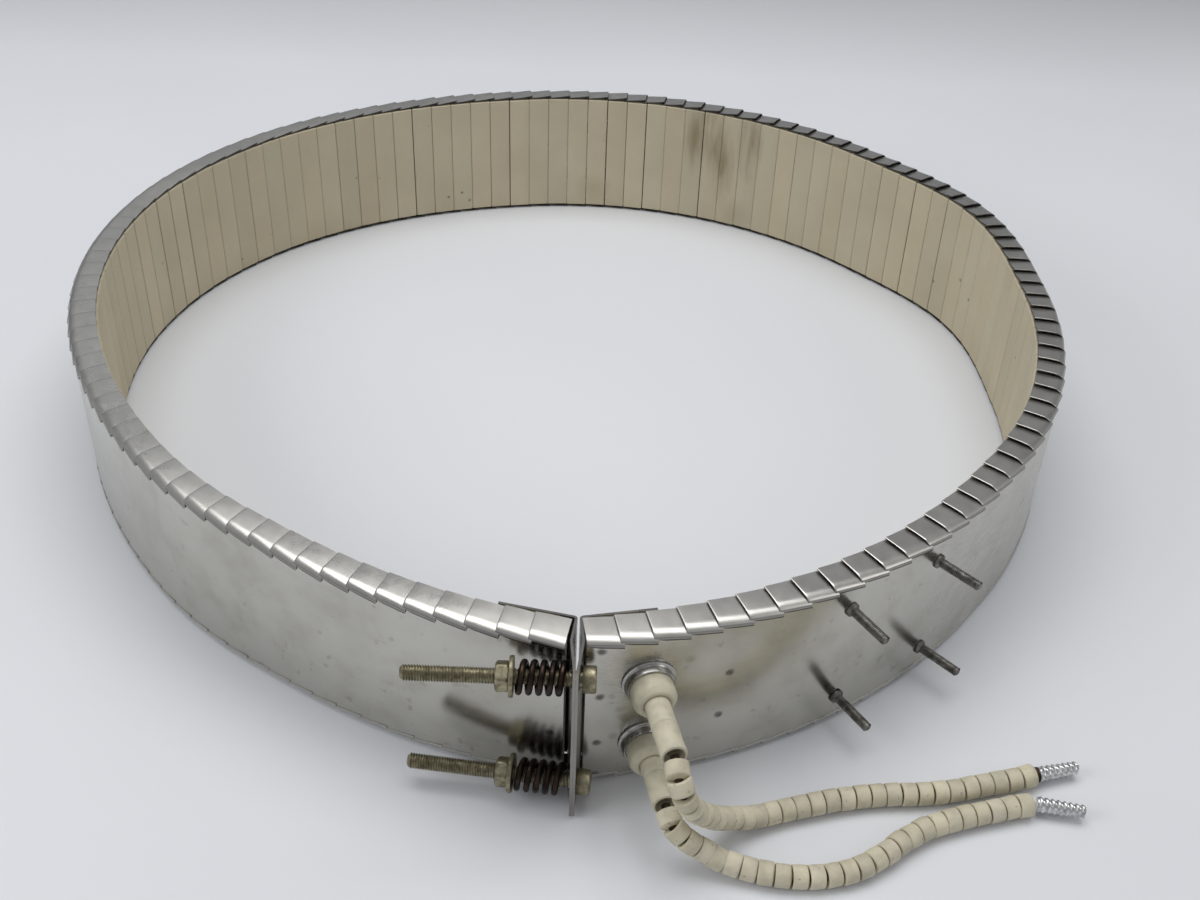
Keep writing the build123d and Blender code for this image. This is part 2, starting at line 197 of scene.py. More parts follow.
def new_material(name, colour, metallic, roughness):
    material = bpy.data.materials.new(name)
    material.use_nodes = True
    shader = material.node_tree.nodes["Principled BSDF"]
    values = {"Base Color": colour, "Metallic": metallic, "Roughness": roughness}
    feed_all(material, shader, values)
    return material, shader


def shaded(colour, share):
    return tuple(min(1, part * share) for part in colour)


print("a tone shaded by a fifth", shaded((0.5, 0.4, 0.3), 0.8))

# %% Textures and arithmetic
def coordinates(owner, scale=(1, 1, 1), layer=None):
    """Object coordinates in metres, or a UV layer, with a scale."""
    if layer is None:
        source = add_node(owner, "ShaderNodeTexCoord").outputs["Object"]
    else:
        source = add_node(owner, "ShaderNodeUVMap", uv_map=layer).outputs["UV"]
    mapping = add_node(owner, "ShaderNodeMapping")
    mapping.inputs["Scale"].default_value = scale
    feed(owner, source, mapping.inputs["Vector"])
    return mapping.outputs["Vector"]


def noise(owner, vector, scale, detail=4.0, rough=0.55):
    node = add_node(owner, "ShaderNodeTexNoise")
    values = {"Vector": vector, "Scale": scale, "Detail": detail, "Roughness": rough}
    feed_all(owner, node, values)
    return node.outputs["Fac"]


def remap(owner, factor, low, high, to_low, to_high):
    node = add_node(owner, "ShaderNodeMapRange")
    feed_all(owner, node, {
        "Value": factor, "From Min": low, "From Max": high, "To Min": to_low, "To Max": to_high,
    })
    return node.outputs["Result"]


def math_node(owner, operation, first, second):
    node = add_node(owner, "ShaderNodeMath", operation=operation)
    feed(owner, first, node.inputs[0])
    feed(owner, second, node.inputs[1])
    return node.outputs["Value"]


def mix_colour(owner, factor, first, second, mode="MIX"):
    node = add_node(owner, "ShaderNodeMix", data_type="RGBA", blend_type=mode)
    for index, value in ((0, factor), (6, first), (7, second)):
        feed(owner, value, node.inputs[index])
    return node.outputs[2]


def bump(owner, shader, height, strength, distance, under=None):
    """A Bump node over another normal; with a shader it also feeds the shader."""
    node = add_node(owner, "ShaderNodeBump")
    feed_all(owner, node, {"Strength": strength, "Distance": distance, "Height": height})
    if under is not None:
        feed(owner, under, node.inputs["Normal"])
    if shader is not None:
        feed(owner, node.outputs["Normal"], shader.inputs["Normal"])
    return node.outputs["Normal"]


# %% [markdown]
# ## Shared effects
# Clouds of tone, brushed lines, grain, specks and round marks appear on several of the
# real materials, each time in another size and strength. Each of them is a node group:
# a node that is built once, has named inputs and outputs, and can be placed in any
# material with its own values. A change to the group then changes every material that
# uses it, which is how one would keep a whole product in step.

# %% Group helpers
def make_group(name, inputs, outputs):
    """An empty node group. A socket is named with its kind, or with a plain number."""
    group = bpy.data.node_groups.new(name, "ShaderNodeTree")
    for side, sockets in (("INPUT", inputs), ("OUTPUT", outputs)):
        for title, value in sockets.items():
            kind = value if isinstance(value, str) else "Float"
            socket = group.interface.new_socket(
                name=title, in_out=side, socket_type="NodeSocket" + kind,
            )
            if kind != value:
                socket.default_value = value
    taken = group.nodes.new("NodeGroupInput").outputs
    given = group.nodes.new("NodeGroupOutput").inputs
    return group, taken, given


def use_group(material, group, **values):
    """Places a group in a material and feeds the inputs that are named."""
    node = add_node(material, "ShaderNodeGroup", node_tree=group)
    feed_all(material, node, values)
    return node.outputs


# %% [markdown]
# ### Cloud tone
# No real surface has one colour: handling, heat and dust leave soft lighter and darker
# areas. The group turns a noise into three tones, dark, body and light, that meet at
# three levels of the noise. It also gives the noise itself, so that a material can let
# its gloss follow the same clouds.

# %% Cloud tone
cloud_tone, taken, given = make_group(
    "cloud_tone",
    dict(
        Vector="Vector", Scale=20.0, Detail=4.0, Dark="Color", Body="Color", Light="Color",
        Low=0.3, Middle=0.5, High=0.72,
    ),
    dict(Colour="Color", Cloud="Float"),
)
cloud = noise(cloud_tone, taken["Vector"], taken["Scale"], taken["Detail"])
rise = remap(cloud_tone, cloud, taken["Low"], taken["Middle"], 0, 1)
body = mix_colour(cloud_tone, rise, taken["Dark"], taken["Body"])
rise = remap(cloud_tone, cloud, taken["Middle"], taken["High"], 0, 1)
body = mix_colour(cloud_tone, rise, body, taken["Light"])
feed(cloud_tone, body, given["Colour"])
feed(cloud_tone, cloud, given["Cloud"])
print(cloud_tone.name, len(cloud_tone.nodes), "nodes")

# %% [markdown]
# ### Worn gloss
# Where metal is handled it shines a little more, and where it is dusty it shines less.
# The group spreads a cloud between a smooth and a rough value.

# %% Worn gloss
worn_gloss, taken, given = make_group(
    "worn_gloss", dict(Cloud=0.5, Smooth=0.2, Rough=0.4), dict(Roughness="Float"),
)
spread = remap(worn_gloss, taken["Cloud"], 0.3, 0.7, taken["Smooth"], taken["Rough"])
feed(worn_gloss, spread, given["Roughness"])
print(worn_gloss.name, len(worn_gloss.nodes), "nodes")

# %% [markdown]
# ### Brushed lines
# Sheet steel comes from the mill with fine lines along its length. A noise stretched
# about sixty times in one direction gives such lines. They change the tone and the
# gloss by a few hundredths only, and the same lines drive a very shallow bump.

# %% Brushed lines
brushed_lines, taken, given = make_group(
    "brushed_lines",
    dict(Vector="Vector", Colour="Color", Roughness=0.3),
    dict(Colour="Color", Roughness="Float", Height="Float"),
)
streak = noise(brushed_lines, taken["Vector"], 1.0, 3.0)
scaled = add_node(brushed_lines, "ShaderNodeVectorMath", operation="SCALE")
feed(brushed_lines, taken["Colour"], scaled.inputs[0])
feed(brushed_lines, remap(brushed_lines, streak, 0.3, 0.7, 0.965, 1.03), scaled.inputs["Scale"])
change = remap(brushed_lines, streak, 0.3, 0.7, -0.03, 0.03)
feed(brushed_lines, scaled.outputs["Vector"], given["Colour"])
feed(brushed_lines, math_node(brushed_lines, "ADD", taken["Roughness"], change), given["Roughness"])
feed(brushed_lines, streak, given["Height"])
print(brushed_lines.name, len(brushed_lines.nodes), "nodes")

# %% [markdown]
# ### Grain, specks and round marks
# Grain is a height for a Bump node, from the waviness of sheet to the pores of ceramic.
# Specks are the few peaks of a noise that reach above a level: chips and dirt. A round
# mark is 1 near a place and fades to 0 at a radius, for welds, soot and drips.

# %% Grain, specks and round marks
grain, taken, given = make_group(
    "grain", dict(Vector="Vector", Scale=500.0, Detail=3.0), dict(Height="Float"),
)
feed(grain, noise(grain, taken["Vector"], taken["Scale"], taken["Detail"]), given["Height"])

specks, taken, given = make_group(
    "specks",
    dict(Vector="Vector", Scale=400.0, Detail=2.0, Level=0.7, Soft=0.05, Strength=0.5),
    dict(Mask="Float"),
)
peaks = noise(specks, taken["Vector"], taken["Scale"], taken["Detail"])
upper_level = math_node(specks, "ADD", taken["Level"], taken["Soft"])
feed(specks, remap(specks, peaks, taken["Level"], upper_level, 0, taken["Strength"]), given["Mask"])

round_mark, taken, given = make_group(
    "round_mark", dict(Vector="Vector", Place="Vector", Radius=0.002, Soft=0.5),
    dict(Mask="Float"),
)
away = add_node(round_mark, "ShaderNodeVectorMath", operation="DISTANCE")
feed(round_mark, taken["Vector"], away.inputs[0])
feed(round_mark, taken["Place"], away.inputs[1])
hard = math_node(round_mark, "SUBTRACT", 1.0, taken["Soft"])
core = math_node(round_mark, "MULTIPLY", taken["Radius"], hard)
fade = remap(round_mark, away.outputs["Value"], core, taken["Radius"], 1, 0)
feed(round_mark, fade, given["Mask"])
print("node groups", [group.name for group in bpy.data.node_groups])

# %% [markdown]
# ### The groups in use
# Most materials take clouds of tone, a grain, specks and a few stains. These functions
# place the groups and mix their colours, so that each material below only has to name
# its own values. A stain is a list of places with a size, a share and a tint.

# %% The groups in use
def clouds(material, vector, scale, detail, tones, levels=(0.3, 0.7, 0.9)):
    """Clouds of a dark, a body and a light tone that meet at three levels."""
    dark, body, light = tones
    low, middle, high = levels
    return use_group(
        material, cloud_tone, Vector=vector, Scale=scale, Detail=detail,
        Dark=dark, Body=body, Light=light, Low=low, Middle=middle, High=high,
    )


def rough_skin(material, shader, vector, scale, detail, strength, distance):
    """A fine grain of pits or pores, as a bump."""
    pits = use_group(material, grain, Vector=vector, Scale=scale, Detail=detail)["Height"]
    bump(material, shader, pits, strength, distance)


def own_tones(material, colour):
    """Multiplies in the tone that a mesh holds for each of its tiles or beads."""
    own = add_node(material, "ShaderNodeVertexColor", layer_name="tone")
    return mix_colour(material, 1.0, colour, own.outputs["Color"], "MULTIPLY")


def speckled(material, colour, tint, **values):
    mask = use_group(material, specks, **values)["Mask"]
    return mix_colour(material, mask, colour, tint)


def stained(material, colour, stains):
    """Lays round marks over a colour: (vector, places, radius, soft, share, tint)."""
    for vector, places, radius, soft, share, tint in stains:
        total = None
        for place in places:
            mask = use_group(
                material, round_mark, Vector=vector, Place=(*place, 0),
                Radius=radius, Soft=soft,
            )["Mask"]
            total = mask if total is None else math_node(material, "MAXIMUM", total, mask)
        total = math_node(material, "MULTIPLY", total, share)
        colour = mix_colour(material, total, colour, tint)
    return colour


# %% [markdown]
# ## Sheath steel
# The sheath is thin stainless strip. It mirrors the room softly, so what matters most is
# its roughness, between 0.18 and 0.30 on the wall, and a faint waviness that bends the
# reflections as pressed sheet does. The wall's clouds are a tenth darker at the most.
# The same recipe with other values serves the wall, the folded tabs and the lugs, and a
# darker copy of the tab steel paints shade on the steep part of each upper fold.

# %% Sheet steel recipe
def sheet_steel(name, colour, wave, dull, blotch, streak_layer=None):
    material, shader = new_material(name, colour, 1.0, 0.3)
    plain = coordinates(material)
    stretch = (14, 900, 1) if streak_layer else (180, 180, 180)
    lines = coordinates(material, stretch, streak_layer)
    toned = clouds(
        material, plain, 22.0, 5.0,
        (shaded(colour, blotch), colour, shaded(colour, 1.07)), (0.30, 0.48, 0.72),
    )
    gloss = use_group(
        material, worn_gloss, Cloud=noise(material, plain, 7.0, 3.0),
        Smooth=0.13 + dull, Rough=0.25 + dull,
    )
    brushed = use_group(
        material, brushed_lines, Vector=lines,
        Colour=toned["Colour"], Roughness=gloss["Roughness"],
    )
    feed(material, brushed["Colour"], shader.inputs["Base Color"])
    feed(material, brushed["Roughness"], shader.inputs["Roughness"])
    waves = use_group(material, grain, Vector=plain, Scale=26.0, Detail=2.0)["Height"]
    waved = bump(material, None, waves, wave, 0.0008)
    bump(material, shader, brushed["Height"], 0.06, 0.00004, waved)
    return material, shader, brushed["Colour"], plain


wall_steel, wall_shader, wall_colour, wall_vector = sheet_steel(
    "wall_steel", (0.53, 0.515, 0.468), wave=0.35, dull=0.045, blotch=0.90, streak_layer="band",
)
tab_steel = sheet_steel("tab_steel", (0.55, 0.537, 0.50), wave=0.10, dull=0.13, blotch=0.95)[0]
# A darker copy of the tab steel for the steep part of each upper fold: painted shade over the
# bright line that the fold would reflect from the floor.
fold_shade_steel = sheet_steel("fold_shade_steel", (0.34, 0.33, 0.305), wave=0.15, dull=0.20, blotch=0.93)[0]
lug_steel = sheet_steel("lug_steel", (0.30, 0.285, 0.265), wave=0.15, dull=0.04, blotch=0.84)[0]
# Dark steel that paints shade in the tabs' gaps, on their undersides and inner and raised edges,
# and along the lip under each upper fold.
shade_steel = new_material("shade_steel", (0.085, 0.078, 0.068), 0.7, 0.55)[0]
print("sheet steels made")

# %% [markdown]
# ## Marks on the wall
# The lugs and terminals are spot welded, and each weld leaves a small dot on the
# outside, some dark and some faint. Heat has also browned the wall near the upper
# terminal. The marks are placed in the wall's own flat coordinates, length along the
# band and height, so they stay where they are when the band's outline changes. Smears
# of grease and fine scuffs lie over the whole wall, as clouds of tone and as specks.

# %% Marks on the wall
weld_spots = [
    (0.0052, 0.0698), (0.0052, 0.0465), (0.0048, 0.0218), (0.0045, 0.0040),
    (0.0500, 0.0266), (0.0527, 0.0484), (1.4195, 0.0266), (1.4203, 0.0600),
]
faint_spots = [(0.0127, 0.0389), (0.0134, 0.0351), (0.0105, 0.0247), (0.0370, 0.0600)]
soot_spots = [(0.0224, 0.0640), (0.0300, 0.0560)]
flat = coordinates(wall_steel, layer="band")
uneven = remap(wall_steel, noise(wall_steel, wall_vector, 420.0, 2.0), 0.35, 0.6, 0.4675, 0.85)
cloudy = remap(wall_steel, noise(wall_steel, wall_vector, 60.0, 4.0), 0.4, 0.65, 0.1, 0.75)
smears = clouds(
    wall_steel, wall_vector, 64.0, 6.0,
    ((0.36, 0.345, 0.285), (0.53, 0.515, 0.46), (0.60, 0.59, 0.55)), (0.30, 0.50, 0.70),
)["Colour"]
marked = mix_colour(wall_steel, 0.36, wall_colour, smears)
marked = speckled(
    wall_steel, marked, (0.24, 0.225, 0.18), Vector=wall_vector,
    Scale=170.0, Detail=3.0, Level=0.64, Soft=0.06, Strength=0.32,
)
marked = stained(wall_steel, marked, [
    (flat, soot_spots, 0.0130, 0.9, cloudy, (0.33, 0.30, 0.23)),
    (flat, faint_spots, 0.0024, 0.6, 0.45, (0.28, 0.26, 0.21)),
    (flat, weld_spots, 0.0022, 0.55, uneven, (0.075, 0.065, 0.055)),
])
feed(wall_steel, marked, wall_shader.inputs["Base Color"])
print("marks", len(weld_spots) + len(faint_spots) + len(soot_spots))

# %% [markdown]
# ## Tile ceramic
# The tiles are a porous, unglazed ceramic: matt, khaki, with fine grain. Every tile has
# a slightly different tone, which is written into a colour attribute of its mesh and
# multiplied in here. Oil has run down a few tiles at the back, so those stains are round
# marks, stretched in height and broken up by a noise that is drawn out like a drip.

# %% Tile ceramic
tile_ceramic, shader = new_material("tile_ceramic", (0.55, 0.50, 0.37), 0.0, 0.85)
vector = coordinates(tile_ceramic)
khaki = (0.525, 0.468, 0.340)
toned = clouds(tile_ceramic, vector, 30.0, 4.0, ((0.475, 0.42, 0.300), khaki, khaki))["Colour"]
toned = own_tones(tile_ceramic, toned)
print("tile tones mixed")

# %% Stains on the tiles
run_places = [(6.310, 0.56), (6.170, 0.52), (6.130, 0.40), (5.960, 0.58), (6.240, 0.66)]
foot_places = [(6.02, 0.10), (6.95, 0.14)]
dot_places = [
    (7.888, 0.119), (7.753, 0.081), (7.80, 0.14), (4.330, 0.347), (4.210, 0.290), (4.55, 0.22),
]
squeeze = 0.34
flat = coordinates(tile_ceramic, (10.0, 10.0, 1), "band")
squeezed = coordinates(tile_ceramic, (10.0, 10.0 * squeeze, 1), "band")
squeezed_places = [(x, y * squeeze) for x, y in run_places]
drips = noise(tile_ceramic, coordinates(tile_ceramic, (190, 26, 1), "band"), 1.0, 3.0)
broken = remap(tile_ceramic, drips, 0.36, 0.6, 0.15, 0.72)
toned = stained(tile_ceramic, toned, [
    (squeezed, squeezed_places, 0.095, 0.8, broken, (0.195, 0.150, 0.078)),
    (flat, foot_places, 0.13, 0.9, 0.35, (0.30, 0.24, 0.16)),
    (flat, dot_places, 0.011, 0.5, 0.7, (0.12, 0.085, 0.05)),
])
toned = speckled(
    tile_ceramic, toned, (0.10, 0.075, 0.05), Vector=vector,
    Scale=260.0, Detail=1.0, Level=0.78, Soft=0.04, Strength=0.5,
)
feed(tile_ceramic, toned, shader.inputs["Base Color"])
rough_skin(tile_ceramic, shader, vector, 900.0, 4.0, 0.3, 0.0002)
print("tile stains", len(run_places) + len(foot_places) + len(dot_places))

# %% [markdown]
# ## Cream ceramic
# The terminal bushes and the beads are a denser, cream ceramic. The bushes have a low
# gloss, and the beads are duller, chipped at their rims and grimy from handling. One
# function makes both, because only their values differ, and the beads add their own
# tones and specks.

# %% Cream ceramic
def cream_ceramic(name, colour, roughness, beads=False):
    material, shader = new_material(name, colour, 0.0, roughness)
    vector = coordinates(material)
    tone = clouds(
        material, vector, 160.0, 4.0,
        (shaded(colour, 0.80), colour, shaded(colour, 1.08)), (0.30, 0.55, 0.75),
    )["Colour"]
    if beads:
        tone = speckled(
            material, own_tones(material, tone), (0.17, 0.13, 0.08), Vector=vector,
            Scale=520.0, Detail=2.0, Level=0.68, Soft=0.06, Strength=0.55,
        )
    feed(material, tone, shader.inputs["Base Color"])
    rough_skin(material, shader, vector, 1400.0, 3.0, 0.15, 0.0001)
    shader.inputs["Specular IOR Level"].default_value = 0.35
    return material


bush_ceramic = cream_ceramic("bush_ceramic", (0.56, 0.52, 0.395), 0.42)
bead_ceramic = cream_ceramic("bead_ceramic", (0.62, 0.575, 0.44), 0.62, beads=True)
print("cream ceramics made")

# %% [markdown]
# ## Small metal pieces
# Screws, washers and nuts are zinc plated and yellowed, the springs are dark oiled
# steel, the studs are plain dark steel, and the wire ends are tinned. All are made the
# same way: a dark and a bright tone in small clouds, with the gloss following the
# clouds so that worn places shine.

# %% Small metal pieces
def plain_metal(name, colour, dark, roughness, scale):
    material, shader = new_material(name, colour, 1.0, roughness)
    vector = coordinates(material)
    toned = clouds(material, vector, scale, 5.0, (dark, colour, colour), (0.35, 0.65, 0.9))
    gloss = use_group(
        material, worn_gloss, Cloud=toned["Cloud"],
        Smooth=roughness + 0.15, Rough=max(0.05, roughness - 0.08),
    )
    feed(material, toned["Colour"], shader.inputs["Base Color"])
    feed(material, gloss["Roughness"], shader.inputs["Roughness"])
    rough_skin(material, shader, vector, scale * 6, 3.0, 0.15, 0.0001)
    return material


plated_steel = plain_metal("plated_steel", (0.40, 0.365, 0.255), (0.20, 0.175, 0.11), 0.42, 420.0)
spring_steel = plain_metal(
    "spring_steel", (0.058, 0.038, 0.030), (0.018, 0.014, 0.012), 0.33, 300.0,
)
stud_steel = plain_metal("stud_steel", (0.27, 0.26, 0.235), (0.105, 0.10, 0.09), 0.42, 380.0)
pin_steel = plain_metal("pin_steel", (0.42, 0.40, 0.37), (0.20, 0.18, 0.16), 0.45, 400.0)
collar_steel = plain_metal("collar_steel", (0.52, 0.51, 0.49), (0.33, 0.32, 0.30), 0.24, 260.0)
ferrule_tin = plain_metal("ferrule_tin", (0.78, 0.78, 0.77), (0.45, 0.45, 0.45), 0.25, 500.0)
core_wire = plain_metal("core_wire", (0.10, 0.07, 0.045), (0.035, 0.025, 0.018), 0.6, 500.0)
ribbon_alloy = plain_metal("ribbon_alloy", (0.30, 0.28, 0.26), (0.18, 0.17, 0.16), 0.5, 300.0)
print("metals made")

# %% [markdown]
# ## Fibre mat
# Between the heating ribbon and the sheath such heaters have a mat of ceramic fibre. It
# shows only at the gap, so a soft white with a coarse grain and a little sheen is enough.

# %% Fibre mat
blanket_fibre, shader = new_material("blanket_fibre", (0.78, 0.77, 0.73), 0.0, 0.95)
vector = coordinates(blanket_fibre)
white = (0.82, 0.81, 0.78)
toned = clouds(blanket_fibre, vector, 700.0, 6.0, ((0.6, 0.59, 0.55), white, white))
feed(blanket_fibre, toned["Colour"], shader.inputs["Base Color"])
bump(blanket_fibre, shader, toned["Cloud"], 0.5, 0.0006)
shader.inputs["Sheen Weight"].default_value = 0.3
print("materials", len(bpy.data.materials))

# %% [markdown]
# ## Mesh helpers
# Sheet metal, turned parts and wound springs are all easy to describe as rows of
# points: a grid for sheet, a profile turned about an axis for what comes off a lathe,
# and a circle that follows a path for wire. Writing the points directly gives clean
# quads of an even size, and no modifier is left to apply when the model is exported.
# A part is a pair of vertices and faces until it becomes a mesh with a material.

# %% Points and faces
def make_mesh(name, verts, faces, material, place=None, sharp=35):
    data = bpy.data.meshes.new(name)
    points = [Vector(v) if place is None else place @ Vector(v) for v in verts]
    data.from_pydata([p * mm for p in points], [], faces)
    data.validate()
    data.materials.append(material)
    data.shade_smooth()
    data.set_sharp_from_angle(angle=math.radians(sharp))
    piece = bpy.data.objects.new(name, data)
    bpy.context.scene.collection.objects.link(piece)
    return piece


def grid_faces(rows, columns, start=0, close_rows=False, close_columns=False):
    """Quads between neighbouring points of a rows by columns grid."""
    faces = []
    for row in range(rows if close_rows else rows - 1):
        for column in range(columns if close_columns else columns - 1):
            a = start + row * columns + column
            b = start + row * columns + (column + 1) % columns
            c = start + ((row + 1) % rows) * columns + (column + 1) % columns
            d = start + ((row + 1) % rows) * columns + column
            faces.append((a, b, c, d))
    return faces


print("a grid of 3 by 4 points has", len(grid_faces(3, 4)), "faces")

# %% Turned pieces and bars
def rod_faces(rings, segments):
    """Rings of points as a closed bar with flat ends."""
    count = rings * segments
    faces = grid_faces(rings, segments, close_columns=True)
    faces.append(tuple(reversed(range(segments))))
    faces.append(tuple(range(count - segments, count)))
    return faces


def lathe(profile, segments=48, closed=False):
    """Vertices and faces of (x, radius) pairs turned about X, with flat end caps."""
    verts = []
    for x, radius in profile:
        for index in range(segments):
            turn = 2 * math.pi * index / segments
            verts.append((x, radius * math.cos(turn), radius * math.sin(turn)))
    if closed:
        return verts, grid_faces(len(profile), segments, close_rows=True, close_columns=True)
    return verts, rod_faces(len(profile), segments)


def tube(path, radius, segments):
    """Vertices and faces of a round bar that follows a path of points."""
    points = [Vector(p) for p in path]
    verts = []
    across = None
    for index, point in enumerate(points):
        along = points[min(index + 1, len(points) - 1)] - points[max(index - 1, 0)]
        along.normalize()
        if across is None:
            across = along.orthogonal().normalized()
        across = (across - along * across.dot(along)).normalized()
        other = along.cross(across)
        for step in range(segments):
            turn = 2 * math.pi * step / segments
            verts.append(point + radius * (across * math.cos(turn) + other * math.sin(turn)))
    return verts, rod_faces(len(points), segments)


print("a plain pin has", len(lathe([(0, 1), (5, 1)])[1]), "faces")

# %% Parts together
def join(parts):
    """Several (verts, faces) pairs as one."""
    verts, faces = [], []
    for part_verts, part_faces in parts:
        start = len(verts)
        verts.extend(part_verts)
        faces.extend(tuple(start + i for i in face) for face in part_faces)
    return verts, faces


def moved(part, place):
    verts, faces = part
    return [place @ Vector(v) for v in verts], faces


pin = lathe([(0, 1), (5, 1)])
print("two joined pins have", len(join([pin, pin])[0]), "points")

# %% [markdown]
# ## Lead routes
# The leads leave the terminals, bend down and lie beside the band. A lead could be drawn
# as a curve object with a bevel, but these are strings of stiff beads, so a smooth line
# is made first and the beads are threaded on it afterwards. The line is a spline that
# has the route's points as its control points, read back as a plain list of points.

# %% Lead routes
terminal_along = 22.4
terminal_heights = {"upper": 52.0, "lower": 20.0}
tube_ends = {"upper": 36.5, "lower": 31.5}
lead_exit_play, lead_exit_run = 0.02, 5.4
lead_diameter = 9.0
upper_points = [
    (45.6, -293.3, 49.3), (48.0, -295.0, 44.0), (50.6, -292.6, 36.0),
    (55.3, -287.0, 25.8), (61.8, -280.0, 15.8), (70.6, -273.6, 7.8),
    (82.5, -268.4, 4.6), (97.0, -263.6, 4.6), (111.0, -259.6, 4.6),
    (125.0, -257.2, 4.6), (139.0, -256.2, 4.6), (153.0, -254.4, 4.6),
    (167.0, -250.2, 4.6), (178.0, -247.6, 4.6), (187.5, -244.4, 4.6),
]
lower_points = [
    (46.1, -288.3, 17.8), (52.6, -289.4, 13.0), (60.5, -290.4, 7.2),
    (71.0, -293.0, 4.6), (84.0, -296.0, 4.6), (98.5, -296.2, 4.6),
    (112.0, -292.6, 4.6), (123.5, -285.4, 4.6), (133.0, -276.8, 4.6),
    (144.5, -270.2, 4.6), (157.0, -265.8, 4.6), (170.5, -262.4, 4.6),
    (183.5, -258.4, 4.6),
]


def full_route(side, points):
    """Out of the tube along its axis, then through the chosen points."""
    place = band_place(terminal_along, sheath_outer, terminal_heights[side])
    start = tube_ends[side] + lead_exit_play
    mouth = place @ Vector((start, 0, 0))
    leaving = place @ Vector((start + lead_exit_run, 0, 0))
    lift = Vector((0, 0, base))
    return [tuple(mouth - lift), tuple(leaving - lift)] + points


upper_route = full_route("upper", upper_points)
lower_route = full_route("lower", lower_points)
print("mouths", [[round(v, 2) for v in route[0]] for route in (upper_route, lower_route)])

# %% A smooth line along the route
def route_line(name, route):
    """Points, in metres, of a smooth spline that has the route as its control points."""
    data = bpy.data.curves.new(name, "CURVE")
    data.dimensions = "3D"
    spline = data.splines.new("NURBS")
    spline.points.add(len(route) - 1)
    for point, (x, y, z) in zip(spline.points, route):
        point.co = (x * mm, y * mm, (z + base) * mm, 1)
    spline.order_u = 3
    spline.use_endpoint_u = True
    spline.resolution_u = 24
    holder = bpy.data.objects.new(name, data)
    mesh = bpy.data.meshes.new_from_object(holder)
    line = [v.co.copy() for v in mesh.vertices]
    bpy.data.objects.remove(holder)
    bpy.data.meshes.remove(mesh)
    bpy.data.curves.remove(data)
    return line


def along_line(line, distance):
    """Point at a distance along a line of points."""
    walked = 0.0
    for first, second in zip(line, line[1:]):
        step = (second - first).length
        if walked + step >= distance or second is line[-1]:
            return first.lerp(second, (distance - walked) / step)
        walked += step


# %% [markdown]
# ## Beads
# Each bead has a cup at one end and a ball nose at the other, so that the string can
# bend and still cover the wire. The profile is turned on the lathe helper once per
# bead, set along the line at an even pitch, and tipped a few degrees at random, because
# loose beads never line up. Each bead carries its own tone in a colour attribute, and
# the bare wire inside shows in the gaps at the bends.

# %% Bead profile
def bead_profile(length, radius):
    """A bead from its cup to its ball end: rounded rims and a domed nose."""
    hole = radius * 0.30
    return [
        (0.10 * length, hole), (0.05 * length, radius * 0.60), (0.0, radius * 0.82),
        (0.005 * length, radius * 0.93), (0.035 * length, radius * 0.985),
        (0.09 * length, radius), (0.70 * length, radius), (0.86 * length, radius * 0.985),
        (0.915 * length, radius * 0.95), (0.94 * length, radius * 0.86),
        (0.97 * length, radius * 0.74), (1.05 * length, radius * 0.45),
        (1.06 * length, hole),
    ]


print("points in a bead's profile", len(bead_profile(6.1, 4.5)))

# %% Bead strings
mouth_gap = 2.6
bead_wobble = 0.06
bead_tones = [1.0, 1.02, 0.97, 0.93, 0.88]
core_radius = 1.7


def paint_tones(piece, tones):
    """Writes one tone per vertex into the colour attribute that the ceramics read."""
    colours = piece.data.color_attributes.new("tone", "FLOAT_COLOR", "POINT")
    for item, tone in zip(colours.data, tones):
        item.color = tone


def bead_string(name, route, bead_length, seed):
    line = route_line(name + "_line", route)
    length = sum((b - a).length for a, b in zip(line, line[1:])) * metre
    count = round((length - mouth_gap) / bead_length)
    pitch = (length - mouth_gap) / count
    chance = random.Random(seed)
    parts, tones = [], []
    for index in range(count):
        start = along_line(line, (mouth_gap + index * pitch) * mm)
        end = along_line(line, (mouth_gap + (index + 1) * pitch) * mm - 1e-9)
        heading = (end - start).normalized()
        wobble = Vector([chance.uniform(-bead_wobble, bead_wobble) for _ in range(3)])
        turn = (heading + wobble).normalized().to_track_quat("X", "Z")
        radius = lead_diameter / 2 * chance.uniform(0.965, 1.0)
        bead = lathe(bead_profile(pitch * 0.985, radius), 28, closed=True)
        place = Matrix.Translation(start * metre) @ turn.to_matrix().to_4x4()
        parts.append(moved(bead, place))
        tone = chance.choice(bead_tones)
        tinted = (tone, tone * chance.uniform(0.985, 1.0), tone * chance.uniform(0.95, 1.0), 1)
        tones += [tinted] * len(bead[0])
    bead_faces = sum(len(part[1]) for part in parts)
    core = tube([p * metre for p in line[::3]] + [line[-1] * metre], core_radius, 10)
    verts, faces = join(parts + [core])
    string = make_mesh(name, verts, faces, bead_ceramic, sharp=50)
    string.data.materials.append(core_wire)
    paint_tones(string, tones + [(1, 1, 1, 1)] * (len(verts) - len(tones)))
    for face in string.data.polygons[bead_faces:]:
        face.material_index = 1
    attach(string, "band")
    return string, line, length


# %% [markdown]
# ## Crimped ends
# The bare strands end in a tinned sleeve that a crimping tool has pressed into a
# quilted pattern. The pattern is two waves multiplied, one along the sleeve and one
# round it, and it moves the points themselves, because a bump alone would leave the
# outline smooth. The upper end shows a short dark ring of wire before the sleeve.

